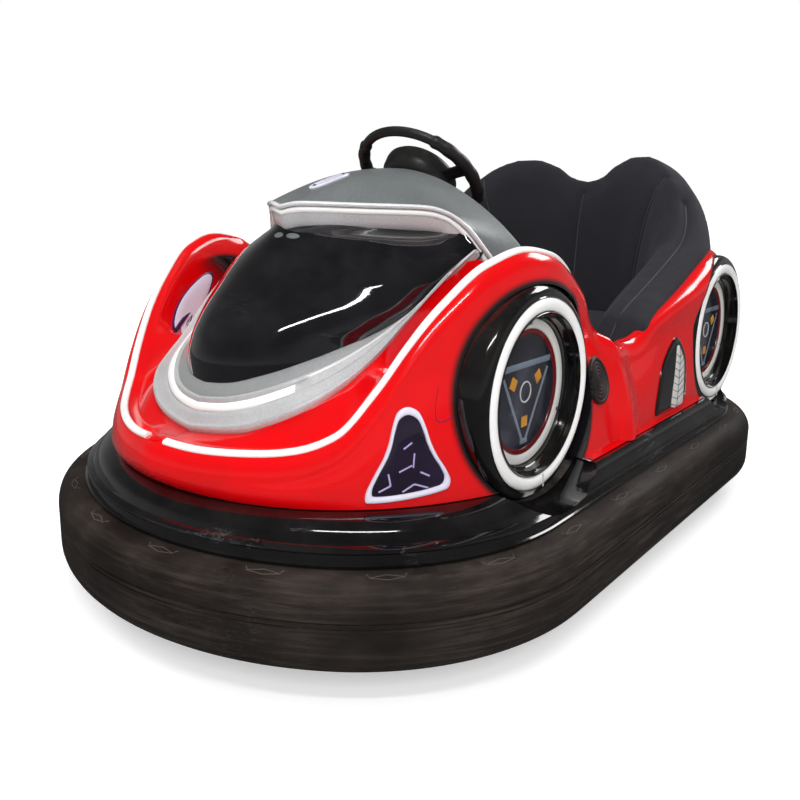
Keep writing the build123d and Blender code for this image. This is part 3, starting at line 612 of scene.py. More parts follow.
# ---- finishes
class Nodes:
    """A node tree that is filled in short calls."""

    def __init__(self, tree: bpy.types.NodeTree) -> None:
        """Work on this tree."""
        self.tree = tree

    def add(self, kind: str, inputs: Optional[dict] = None, **settings: object) -> bpy.types.Node:
        """Add a node.

        Args:
            kind: Blender's node type without its ShaderNode prefix.
            inputs: Values or sockets by input name or number.
            **settings: The node's properties.

        Returns:
            The node.
        """
        node = self.tree.nodes.new(kind if kind.startswith("NodeGroup") else "ShaderNode" + kind)
        for name, value in settings.items():
            setattr(node, name, value)
        for name, value in (inputs or {}).items():
            if isinstance(value, Socket):
                self.tree.links.new(value, node.inputs[name])
            else:
                node.inputs[name].default_value = value
        return node

    def math(self, operation: str, *values: object) -> Socket:
        """One Math node's result."""
        return self.add("Math", dict(enumerate(values)), operation=operation).outputs[0]

    def times(self, first: object, second: object) -> Socket:
        """The product of two values."""
        return self.math("MULTIPLY", first, second)

    def plus(self, first: object, second: object) -> Socket:
        """The sum of two values."""
        return self.math("ADD", first, second)

    def parts(self, vector: Socket) -> Painted:
        """The X, Y and Z of a vector."""
        return tuple(self.add("SeparateXYZ", {0: vector}).outputs)

    def mix(self, share: object, first: object, second: object) -> Socket:
        """A blend of two colours."""
        return self.add("Mix", {0: share, 6: first, 7: second}, data_type="RGBA").outputs[2]

    def noise(self, vector: Socket, scale: object, detail: float = 3.0, rough: float = 0.55) -> Socket:
        """A noise texture's value."""
        return self.add(
            "TexNoise", {"Vector": vector, "Scale": scale, "Detail": detail, "Roughness": rough}).outputs[0]

    def between(self, value: object, low: object, high: object) -> Socket:
        """A smooth rise from 0 at low to 1 at high."""
        return self.add(
            "MapRange", {"Value": value, "From Min": low, "From Max": high}, interpolation_type="SMOOTHSTEP"
        ).outputs[0]


def shared_group(name: str, values: dict[str, float], outputs: Sequence[str]) -> Callable:
    """Turn a function that fills a node group into one that builds it once and then gives it.

    Args:
        name: The group's name.
        values: Its number inputs and their first values; it also gets a Vector.
        outputs: Its number outputs.

    Returns:
        The decorator. What it decorates gets the nodes and the input sockets, and gives the output sockets.
    """

    def decorate(fill: Callable[[Nodes, dict], dict]) -> Callable[[], bpy.types.NodeTree]:
        """The function that gives the group."""

        def group() -> bpy.types.NodeTree:
            """The group, built at its first use."""
            ready = bpy.data.node_groups.get(name)
            if ready:
                return ready
            tree = bpy.data.node_groups.new(name, "ShaderNodeTree")
            tree.interface.new_socket("Vector", in_out="INPUT", socket_type="NodeSocketVector")
            for label, value in values.items():
                socket = tree.interface.new_socket(label, in_out="INPUT", socket_type="NodeSocketFloat")
                socket.default_value = value
            for label in outputs:
                tree.interface.new_socket(label, in_out="OUTPUT", socket_type="NodeSocketFloat")
            nodes = Nodes(tree)
            source = nodes.add("NodeGroupInput")
            sink = nodes.add("NodeGroupOutput")
            made = fill(nodes, {label: source.outputs[label] for label in ("Vector", *values)})
            for label, socket in made.items():
                tree.links.new(socket, sink.inputs[label])
            return tree

        return group

    return decorate


@shared_group("surface_grain", {"Scale": 400.0}, ("Height", "Drift"))
def grain_group(nodes: Nodes, given: dict) -> dict:
    """Fine moulded or cast grain as a height, and a slow drift of tone."""
    fine = nodes.noise(given["Vector"], given["Scale"], 4.0, 0.65)
    coarse = nodes.noise(given["Vector"], nodes.times(given["Scale"], 0.22), 2.0)
    slow = nodes.noise(given["Vector"], 4.5, 3.0, 0.6)
    return {
        "Height": nodes.math("MULTIPLY_ADD", coarse, 0.6, fine), "Drift": nodes.between(slow, 0.35, 0.65)}


@shared_group("settled_dust", {"Scale": 9.0, "Amount": 0.3}, ("Mask",))
def dust_group(nodes: Nodes, given: dict) -> dict:
    """Dust that settles in patches on what faces upwards."""
    up = nodes.parts(nodes.add("NewGeometry").outputs["Normal"])[2]
    patch = nodes.noise(given["Vector"], given["Scale"], 6.0, 0.68)
    lying = nodes.times(nodes.between(up, -0.25, 1.0), nodes.between(patch, 0.38, 0.72))
    return {"Mask": nodes.times(lying, given["Amount"])}


@shared_group("thin_scuffs", {"Scale": 6.0, "Amount": 0.3}, ("Mask",))
def scuff_group(nodes: Nodes, given: dict) -> dict:
    """Thin drawn-out scuffs and rubbed spots."""
    drawn = nodes.add(
        "Mapping", {"Vector": given["Vector"], "Scale": (1.0, 0.35, 5.0), "Rotation": (0.3, 0.2, 0.5)}
    ).outputs[0]
    ridge = nodes.noise(drawn, given["Scale"], 7.0, 0.7)
    line = nodes.math(
        "SUBTRACT", 1.0,
        nodes.between(nodes.math("ABSOLUTE", nodes.math("SUBTRACT", ridge, 0.5)), 0.0, 0.012))
    place = nodes.between(nodes.noise(given["Vector"], 6.0, 2.0), 0.55, 0.7)
    return {"Mask": nodes.times(nodes.times(line, place), given["Amount"])}


@shared_group("metal_flake", {"Scale": 900.0}, ("Mask", "Height"))
def flake_group(nodes: Nodes, given: dict) -> dict:
    """Bright metal flakes in paint."""
    cell = nodes.add("TexVoronoi", {"Vector": given["Vector"], "Scale": given["Scale"]})
    tone = nodes.add("SeparateColor", {0: cell.outputs["Color"]}).outputs[0]
    return {"Mask": nodes.between(tone, 0.35, 1.0), "Height": tone}


@shared_group("cloth_weave", {"Scale": 3200.0}, ("Height", "Drift"))
def weave_group(nodes: Nodes, given: dict) -> dict:
    """Crossed threads of a stretch cloth."""
    wobble = nodes.noise(given["Vector"], 60.0, 2.0)
    x, y, z = nodes.parts(given["Vector"])
    across = nodes.plus(x, nodes.times(y, 0.7))
    along = nodes.plus(z, nodes.times(y, 0.7))
    wave_a = nodes.math("SINE", nodes.plus(nodes.times(across, given["Scale"]), wobble))
    wave_b = nodes.math("SINE", nodes.plus(nodes.times(along, given["Scale"]), wobble))
    height = nodes.math("MULTIPLY_ADD", nodes.times(wave_a, wave_b), 0.5, 0.5)
    return {"Height": height, "Drift": nodes.between(nodes.noise(given["Vector"], 5.0, 4.0, 0.6), 0.3, 0.7)}


def rgba(colour: Colour) -> tuple[float, float, float, float]:
    """A colour with full alpha."""
    return (*colour, 1.0)


@dataclass(frozen=True)
class Finish:
    """A surface with tone drift, grain, dust and scuffs, from the shared groups."""

    name: str
    colour: Colour
    drift: Colour
    roughness: float = 0.4
    metallic: float = 0.0
    coat: float = 0.0
    coat_roughness: float = 0.04
    grain: float = 400.0
    relief: float = 0.1
    depth: float = 0.0004
    dust: float = 0.15
    dust_colour: Colour = (0.32, 0.29, 0.26)
    scuffs: float = 0.1
    scuff_colour: Colour = (0.5, 0.5, 0.5)
    sheen: float = 0.0
    specular: float = 0.5

    def paint(self, nodes: Nodes, vector: Socket) -> Painted:
        """Colour, roughness and height of the bare surface.

        Args:
            nodes: The material's nodes.
            vector: Object coordinates.

        Returns:
            The three sockets.
        """
        grain = nodes.add("Group", {"Vector": vector, "Scale": self.grain}, node_tree=grain_group())
        colour = nodes.mix(grain.outputs["Drift"], rgba(self.colour), rgba(self.drift))
        low, high = max(self.roughness * 0.88, 0.01), min(self.roughness * 1.12, 1.0)
        ends = {"Value": grain.outputs["Drift"], "To Min": low, "To Max": high}
        return colour, nodes.add("MapRange", ends).outputs[0], grain.outputs["Height"]

    def material(self) -> bpy.types.Material:
        """The material, built at its first use."""
        ready = bpy.data.materials.get(self.name)
        if ready:
            return ready
        made = bpy.data.materials.new(self.name)
        made.use_nodes = True
        made.diffuse_color = rgba(self.colour)
        made.node_tree.nodes.clear()
        nodes = Nodes(made.node_tree)
        vector = nodes.add("TexCoord").outputs["Object"]
        colour, rough, height = self.paint(nodes, vector)
        if self.scuffs:
            scuff = nodes.add("Group", {"Vector": vector, "Amount": self.scuffs}, node_tree=scuff_group())
            colour = nodes.mix(scuff.outputs["Mask"], colour, rgba(self.scuff_colour))
        if self.dust:
            dust = nodes.add("Group", {"Vector": vector, "Amount": self.dust}, node_tree=dust_group())
            colour = nodes.mix(dust.outputs["Mask"], colour, rgba(self.dust_colour))
            rough = nodes.math("MULTIPLY_ADD", dust.outputs["Mask"], 0.35, rough)
        bump = nodes.add("Bump", {"Height": height, "Strength": self.relief, "Distance": self.depth})
        values = {
            "Base Color": colour, "Roughness": rough, "Normal": bump.outputs[0], "Metallic": self.metallic,
            "Coat Weight": self.coat, "Coat Roughness": self.coat_roughness, "Sheen Weight": self.sheen,
            "Specular IOR Level": self.specular}
        shader = nodes.add("BsdfPrincipled", values)
        self.tune(nodes, shader, vector)
        nodes.add("OutputMaterial", {"Surface": shader.outputs[0]})
        return made

    def tune(self, nodes: Nodes, shader: bpy.types.Node, vector: Socket) -> None:
        """Last changes to the shader, for kinds of finish that need them."""


@dataclass(frozen=True)
class RedGelCoat(Finish):
    """Glossy red with soft painted shade round the moulded tyres."""

    # circles of painted shade: middle y, middle z, radius, width of the soft edge
    tyres: Rows = ()

    def paint(self, nodes: Nodes, vector: Socket) -> Painted:
        """The red, darkened near each wheel's circle by painted shade."""
        colour, rough, height = super().paint(nodes, vector)
        parts = nodes.parts(vector)
        for y, z, radius, soft in self.tyres:
            across = nodes.math("SUBTRACT", parts[1], y)
            above = nodes.math("SUBTRACT", parts[2], z)
            away = nodes.math("SQRT", nodes.plus(nodes.times(across, across), nodes.times(above, above)))
            outer = nodes.between(nodes.math("ABSOLUTE", parts[0]), 0.385, 0.41)
            near = nodes.math("SUBTRACT", 1.0, nodes.between(away, radius, radius + soft))
            # painted shade: near-black blended in just outside each tyre, on the outer faces only
            colour = nodes.mix(nodes.times(near, outer), colour, (0.006, 0.005, 0.006, 1.0))
        return colour, rough, height


@dataclass(frozen=True)
class StreakedRubber(Finish):
    """Dark rubber with long dusty wipe marks that follow the ring."""

    streaks: float = 0.5
    streak_colour: Colour = (0.085, 0.066, 0.056)

    def paint(self, nodes: Nodes, vector: Socket) -> Painted:
        """The base tone, wiped with level streaks in a few broad places."""
        colour, rough, height = super().paint(nodes, vector)
        level = nodes.add("Mapping", {"Vector": vector, "Scale": (1.0, 1.0, 22.0)}).outputs[0]
        line = nodes.between(nodes.noise(level, 5.0, 8.0, 0.72), 0.44, 0.66)
        place = nodes.between(nodes.noise(vector, 2.2, 3.0), 0.4, 0.68)
        mark = nodes.times(nodes.math("MULTIPLY_ADD", place, 0.75, 0.25), nodes.times(line, self.streaks))
        return nodes.mix(mark, colour, rgba(self.streak_colour)), rough, height


@dataclass(frozen=True)
class SilverFlake(Finish):
    """Metallic paint with flakes."""

    flakes: float = 900.0
    bright: Colour = (0.9, 0.9, 0.92)

    def paint(self, nodes: Nodes, vector: Socket) -> Painted:
        """The base tone with brighter flakes in it."""
        colour, rough, _ = super().paint(nodes, vector)
        flake = nodes.add("Group", {"Vector": vector, "Scale": self.flakes}, node_tree=flake_group())
        colour = nodes.mix(flake.outputs["Mask"], colour, rgba(self.bright))
        return colour, rough, flake.outputs["Height"]


@dataclass(frozen=True)
class SeatCloth(Finish):
    """Dark stretch cloth with a fine weave."""

    threads: float = 3200.0

    def paint(self, nodes: Nodes, vector: Socket) -> Painted:
        """Thread tops lighter than the gaps: a painted highlight on the weave."""
        weave = nodes.add("Group", {"Vector": vector, "Scale": self.threads}, node_tree=weave_group())
        base = nodes.mix(weave.outputs["Drift"], rgba(self.colour), rgba(self.drift))
        # painted highlight: thread tops blended towards a pale blue-grey by their height
        colour = nodes.mix(nodes.times(weave.outputs["Height"], 0.45), base, (0.045, 0.043, 0.052, 1.0))
        height = weave.outputs["Height"]
        ends = {"Value": height, "To Min": self.roughness, "To Max": self.roughness * 0.9}
        return colour, nodes.add("MapRange", ends).outputs[0], height

    def tune(self, nodes: Nodes, shader: bpy.types.Node, vector: Socket) -> None:
        """A soft sheen on the nap."""
        shader.inputs["Sheen Roughness"].default_value = 0.45
        shader.inputs["Sheen Tint"].default_value = (0.75, 0.75, 0.9, 1.0)


@dataclass(frozen=True)
class MirrorFace(Finish):
    """Dark reflecting disc with a blue bloom."""

    def paint(self, nodes: Nodes, vector: Socket) -> Painted:
        """Cloudy blue-black."""
        colour, rough, height = super().paint(nodes, vector)
        cloud = nodes.between(nodes.noise(vector, 9.0, 3.0), 0.45, 0.75)
        colour = nodes.mix(cloud, colour, (0.055, 0.06, 0.085, 1.0))
        return colour, rough, height


@dataclass(frozen=True)
class TyrePlace:
    """Where a moulded tyre's middle is, and how far its face lies inside the car's half width."""

    word: str
    y: float
    z: float
    inset: float


FRONT_TYRE = TyrePlace("front", -0.37, 0.442, 0.122)
REAR_TYRE = TyrePlace("rear", 0.555, 0.442, 0.098)

# the red, with painted shade round the tyres
RED = RedGelCoat(
    "red_gel_coat", (0.72, 0.0008, 0.003), (0.63, 0.0006, 0.002), roughness=0.16, coat=0.6, grain=26.0,
    relief=0.05, depth=0.002, dust=0.006, scuffs=0.015,
    tyres=((FRONT_TYRE.y, FRONT_TYRE.z, 0.203, 0.014), (REAR_TYRE.y, REAR_TYRE.z, 0.201, 0.008)))
TUB_BLACK = Finish(
    "gloss_black_gel_coat", (0.002, 0.002, 0.0025), (0.005, 0.0045, 0.005), roughness=0.1, coat=0.8,
    grain=22.0, relief=0.1, depth=0.003, dust=0.05, dust_colour=(0.16, 0.14, 0.13), scuffs=0.25)
TYRE_BLACK = Finish(
    "moulded_tyre_black", (0.002, 0.002, 0.002), (0.005, 0.0045, 0.0045), roughness=0.12, coat=0.7,
    grain=30.0, relief=0.12, depth=0.002, dust=0.04, scuffs=0.2)
RUBBER = StreakedRubber(
    "streaked_ring_rubber", (0.011, 0.008, 0.0068), (0.019, 0.014, 0.0118), roughness=0.6, grain=300.0,
    relief=0.35, depth=0.0012, dust=0.22, dust_colour=(0.08, 0.06, 0.048), scuffs=0.2,
    scuff_colour=(0.12, 0.098, 0.085), specular=0.25, streaks=0.4)
WORN_RUBBER = Finish(
    "worn_rubber_marks", (0.06, 0.048, 0.043), (0.085, 0.069, 0.062), roughness=0.55, grain=240.0,
    relief=0.3, depth=0.0008, dust=0.3, dust_colour=(0.13, 0.105, 0.09), scuffs=0.3)
SILVER = SilverFlake(
    "silver_flake_paint", (0.46, 0.46, 0.47), (0.56, 0.56, 0.57), roughness=0.33, metallic=0.3, coat=0.5,
    dust=0.03, scuffs=0.05, relief=0.15, depth=0.0003, flakes=1500.0, bright=(0.74, 0.74, 0.75))
SATIN_GREY = SilverFlake(
    "satin_grey_paint", (0.125, 0.14, 0.142), (0.165, 0.18, 0.183), roughness=0.38, metallic=0.35, coat=0.35,
    dust=0.04, scuffs=0.05, relief=0.15, depth=0.0003, flakes=1700.0, bright=(0.3, 0.32, 0.33))
TRAY_SATIN = SilverFlake(
    "satin_silver_paint", (0.25, 0.26, 0.26), (0.32, 0.33, 0.33), roughness=0.36, metallic=0.3, coat=0.4,
    dust=0.03, scuffs=0.05, relief=0.12, depth=0.0003, flakes=1700.0, bright=(0.46, 0.47, 0.48))
# silver paint lightened into a painted highlight, for the cowl's lip
HIGHLIT_SILVER = SilverFlake(
    "silver_paint_painted_highlight", (0.62, 0.62, 0.63), (0.72, 0.72, 0.73), roughness=0.24, metallic=0.2, coat=0.6,
    dust=0.02, scuffs=0.03, relief=0.1, depth=0.0002, flakes=1500.0)
SCREEN = Finish(
    "gloss_black_screen", (0.003, 0.003, 0.004), (0.006, 0.006, 0.008), roughness=0.05, coat=1.0,
    coat_roughness=0.02, grain=9.0, relief=0.12, depth=0.006, dust=0.02, scuffs=0.06)
LIGHT_WHITE = Finish(
    "milky_light_strip", (0.88, 0.87, 0.86), (0.83, 0.82, 0.81), roughness=0.35, coat=0.3, grain=60.0,
    relief=0.1, depth=0.0008, dust=0.06, dust_colour=(0.5, 0.46, 0.42), scuffs=0.05)
RING_GREY = Finish(
    "off_white_ring", (0.62, 0.61, 0.58), (0.54, 0.53, 0.51), roughness=0.35, coat=0.2, grain=70.0,
    relief=0.12, depth=0.0008, dust=0.1, dust_colour=(0.4, 0.36, 0.32), scuffs=0.08)
LAMP_BLACK = Finish(
    "lamp_lens_black", (0.008, 0.004, 0.014), (0.018, 0.01, 0.034), roughness=0.06, coat=1.0, grain=18.0,
    relief=0.05, depth=0.002, dust=0.02, scuffs=0.05)
LAVENDER = Finish(
    "lavender_white", (0.7, 0.68, 0.8), (0.62, 0.6, 0.74), roughness=0.28, coat=0.5, grain=55.0, relief=0.08,
    depth=0.0006, dust=0.03, scuffs=0.05)
VIOLET = Finish(
    "pale_violet_cells", (0.42, 0.34, 0.6), (0.34, 0.26, 0.5), roughness=0.3, coat=0.4, grain=60.0,
    relief=0.05, dust=0.02, scuffs=0.03)
PLUM = Finish(
    "plum_outline", (0.045, 0.018, 0.085), (0.06, 0.028, 0.11), roughness=0.25, coat=0.5, grain=60.0,
    relief=0.05, dust=0.02, scuffs=0.04)
SPEAKER_BLACK = Finish(
    "speaker_cover_black", (0.01, 0.01, 0.011), (0.018, 0.017, 0.018), roughness=0.5, grain=900.0,
    relief=0.4, depth=0.0006, dust=0.2, scuffs=0.1)
FACE_DARK = MirrorFace(
    "wheel_face_dark", (0.012, 0.013, 0.02), (0.022, 0.022, 0.034), roughness=0.12, coat=0.8, grain=16.0,
    relief=0.12, depth=0.003, dust=0.04, scuffs=0.08)
FACE_RED = Finish(
    "wheel_dark_red", (0.16, 0.006, 0.008), (0.1, 0.004, 0.006), roughness=0.22, coat=0.6, grain=60.0,
    relief=0.1, dust=0.04, scuffs=0.05)
FACE_BLUE = Finish(
    "wheel_grey_blue", (0.16, 0.2, 0.26), (0.22, 0.26, 0.32), roughness=0.3, metallic=0.2, coat=0.4,
    grain=80.0, relief=0.1, dust=0.03, scuffs=0.05)
FACE_AMBER = Finish(
    "wheel_amber", (0.62, 0.3, 0.02), (0.5, 0.2, 0.015), roughness=0.35, coat=0.3, grain=45.0, relief=0.1,
    dust=0.03, scuffs=0.05)
GRIP = Finish(
    "steering_grip_black", (0.01, 0.01, 0.01), (0.016, 0.015, 0.015), roughness=0.36, grain=700.0,
    relief=0.3, depth=0.0004, dust=0.08, scuffs=0.1)
CLOTH = SeatCloth(
    "seat_stretch_cloth", (0.0085, 0.008, 0.01), (0.013, 0.0125, 0.015), roughness=0.85, relief=0.5,
    depth=0.0005, dust=0.02, dust_colour=(0.06, 0.06, 0.065), scuffs=0.0, sheen=0.08, specular=0.2)
THREAD = Finish(
    "seam_thread", (0.022, 0.0215, 0.025), (0.03, 0.029, 0.034), roughness=0.7, grain=2500.0, relief=0.4,
    depth=0.0003, dust=0.05, scuffs=0.0, sheen=0.3)
LINER = Finish(
    "rough_black_liner", (0.016, 0.015, 0.015), (0.03, 0.028, 0.026), roughness=0.75, grain=260.0,
    relief=0.6, depth=0.0015, dust=0.4, scuffs=0.3)
FRAME_STEEL = Finish(
    "painted_frame_steel", (0.022, 0.023, 0.025), (0.035, 0.034, 0.034), roughness=0.45, metallic=0.2,
    grain=420.0, relief=0.3, dust=0.35, scuffs=0.6, scuff_colour=(0.16, 0.09, 0.05))
BARE_STEEL = Finish(
    "bare_steel", (0.42, 0.42, 0.43), (0.34, 0.33, 0.33), roughness=0.34, metallic=1.0, grain=520.0,
    relief=0.25, dust=0.15, scuffs=0.5, scuff_colour=(0.2, 0.13, 0.08))
CAST_GREY = Finish(
    "cast_grey_metal", (0.16, 0.165, 0.17), (0.22, 0.22, 0.22), roughness=0.5, metallic=0.6, grain=360.0,
    relief=0.5, depth=0.0008, dust=0.25, scuffs=0.3)
BATTERY = Finish(
    "battery_case_paint", (0.03, 0.035, 0.05), (0.045, 0.05, 0.065), roughness=0.5, grain=500.0, relief=0.3,
    dust=0.4, scuffs=0.3)
WHEEL_RUBBER = Finish(
    "road_wheel_rubber", (0.03, 0.03, 0.032), (0.05, 0.048, 0.046), roughness=0.7, grain=380.0, relief=0.4,
    depth=0.0008, dust=0.45, scuffs=0.4, scuff_colour=(0.16, 0.15, 0.14))


# ---- lower car
@dataclass
class Bumper:
    """The rubber ring round the car, with its grooves and moulded diamonds."""

    depth: float = 0.066
    edge: float = 0.042
    groove_heights: tuple[float, ...] = (0.158, 0.149)
    mark_pitch: float = 0.205
    mark_length: float = 0.058
    mark_width: float = 0.03
    mark_inset: float = 0.021
    bottom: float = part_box("bumper")[0].z
    top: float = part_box("bumper")[1].z

    def profile(self) -> list[Pair]:
        """Inset and height round the rubber's section."""
        rows = [(self.depth, self.bottom)]
        for k in range(9):
            a = math.radians(90 * k / 8)
            rows.append((self.edge * (1 - math.sin(a)), self.bottom + self.edge * (1 - math.cos(a))))
        rows += [(0.0, 0.12), (0.0, 0.14)]
        for z in reversed(self.groove_heights):
            rows += [(0.0, z - 0.0022), (0.0026, z - 0.001), (0.0026, z + 0.001), (0.0, z + 0.0022)]
        rows += [(0.0, 0.17)]
        for k in range(11):
            a = math.radians(90 * k / 10)
            rows.append((self.edge * (1 - math.cos(a)), self.top - self.edge * (1 - math.sin(a))))
        rows += [(self.depth, self.top), (self.depth, self.bottom)]
        return rows

    def build(self) -> None:
        """Make the rubber and its marks."""
        rows = np.array(self.profile())
        reach = BUMPER_LINE.length()

        def place(u: Array, v: Array) -> Array:
            """Points of the rubber's skin."""
            k = nearest_step(v, len(rows) - 1)
            plan, _ = BUMPER_LINE.at((u * 2 - 1) * reach, rows[k, 0])
            return solid_point(plan, rows[k, 1])

        rubber = sculpt_grid("rubber_bumper", 300, len(rows) - 1, place, 30)
        settle(rubber, RUBBER, ["bumper"])
        self.marks(rubber)

    def bar(self, start: Array, end: Array) -> Mesh:
        """One bevelled bar of a diamond, flat in X and Y."""
        deselect()
        bpy.ops.mesh.primitive_cube_add(size=1.0)
        bar = bpy.context.object
        bar.scale = (float(np.linalg.norm(end - start)) + 0.0012, 0.0018, 0.003)
        bar.rotation_euler = (0.0, 0.0, math.atan2(end[1] - start[1], end[0] - start[0]))
        bar.location = (*((start + end) / 2), 0.0004)
        bpy.ops.object.transform_apply()
        with editing(bar):
            bpy.ops.mesh.bevel(offset=0.0005, segments=1)
        return bar

    def marks(self, rubber: Mesh) -> None:
        """Raised diamonds with a tick at each side, round the top."""
        surface = Surface(rubber)
        reach = BUMPER_LINE.length()
        count = int(2 * reach / self.mark_pitch)
        long, wide, tick = self.mark_length / 2, self.mark_width / 2, 0.003
        tips = ((-long, 0.0), (0.0, wide), (long, 0.0), (0.0, -wide), (-long, 0.0))
        bars = list(zip(tips, tips[1:]))
        bars += [((side * long, tick), (side * (long + tick), wide + tick)) for side in (-1, 1)]
        made = []
        for n in range(count):
            station = (2 * n + 1.0) / count * reach - reach
            plan, normal = BUMPER_LINE.at(np.array([station]), np.array([self.mark_inset]))
            inwards = Vector((-normal[0, 0], -normal[0, 1], 0.0))
            for start, end in bars:
                bar = self.bar(np.array(start), np.array(end))
                above = Vector((*plan[0], self.top + 0.05))
                made.append(surface.lay(bar, above, UP.cross(inwards), inwards))
        marks = joined("bumper_diamonds", made)
        smooth(marks, 30)
        settle(marks, WORN_RUBBER)


@dataclass
class LowerTub:
    """The gloss black moulding between the bumper and the red body."""

    inset: float = 0.058
    wall: float = 0.045
    # share of the way to the red body, height in millimetres, lift
    rows: Rows = (
        (0.0, 0.0, 0.0), (0.0, 1.5, 0.0022), (0.0, 6.0, 0.0026), (0.01, 8.0, 0.0), (0.05, 22.0, 0.0),
        (0.06, 25.0, 0.0022), (0.08, 28.5, 0.0022), (0.11, 30.5, 0.0), (0.24, 33.0, 0.0), (0.28, 38.0, 0.0),
        (0.33, 46.0, 0.0), (0.42, 54.0, 0.0), (0.56, 60.5, 0.0), (0.76, 65.5, 0.0), (1.0, 68.6, 0.0))
    bottom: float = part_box("lower_tub")[0].z
    top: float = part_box("lower_tub")[1].z

    def build(self) -> Mesh:
        """Make the tub and scoop it out under the moulded tyres."""
        outer, inner = BUMPER_LINE.moved_in(self.inset), BODY_LINE
        reach_out, reach_in = outer.length(), inner.length()
        rows = np.array(self.rows)
        count = len(rows) + 3

        def place(u: Array, v: Array) -> Array:
            """Points of the tub's closed section."""
            k = nearest_step(v, count - 1) % (count - 1)
            side = u * 2 - 1
            low, normal = outer.at(side * reach_out)
            high, normal_in = inner.at(side * reach_in)
            j = np.minimum(k, len(rows) - 1)
            share = rows[j, 0][:, None]
            plan = low * (1 - share) + high * share + normal * rows[j, 2][:, None]
            height = self.bottom + rows[j, 1] / 1000.0
            inside = high - normal_in * self.wall
            plan = np.where((k >= len(rows))[:, None], inside, plan)
            height = np.where(k == len(rows), self.top - 0.001, height)
            height = np.where(k == len(rows) + 1, self.bottom, height)
            return solid_point(plan, height)

        tub = sculpt_grid("gloss_tub", 320, count - 1, place, 32)
        scoop(tub, 0.205, 0.09)
        smooth(tub, 32)
        return settle(tub, TUB_BLACK, ["lower_tub"])


def scoop(piece: Mesh, radius: float, inboard: float) -> None:
    """Cut the four wheel arches out of a piece.

    Args:
        piece: A closed mesh.
        radius: The arches' radius.
        inboard: How far behind a tyre's face they reach.
    """
    depth = 0.3
    cutters = []
    for tyre in (FRONT_TYRE, REAR_TYRE):
        for side in Side:
            deselect()
            middle = side.value * (HALF_WIDTH - tyre.inset - inboard + depth / 2)
            bpy.ops.mesh.primitive_cylinder_add(
                vertices=128, radius=radius, depth=depth, location=(middle, tyre.y, tyre.z),
                rotation=(0.0, math.pi / 2, 0.0))
            bpy.ops.object.transform_apply()
            cutters.append(bpy.context.object)
    cutter = joined("arch_cutter", cutters)
    modify(
        piece, "BOOLEAN", operation="DIFFERENCE", solver="EXACT", use_self=True, use_hole_tolerant=True,
        object=cutter)
    bpy.data.objects.remove(cutter)


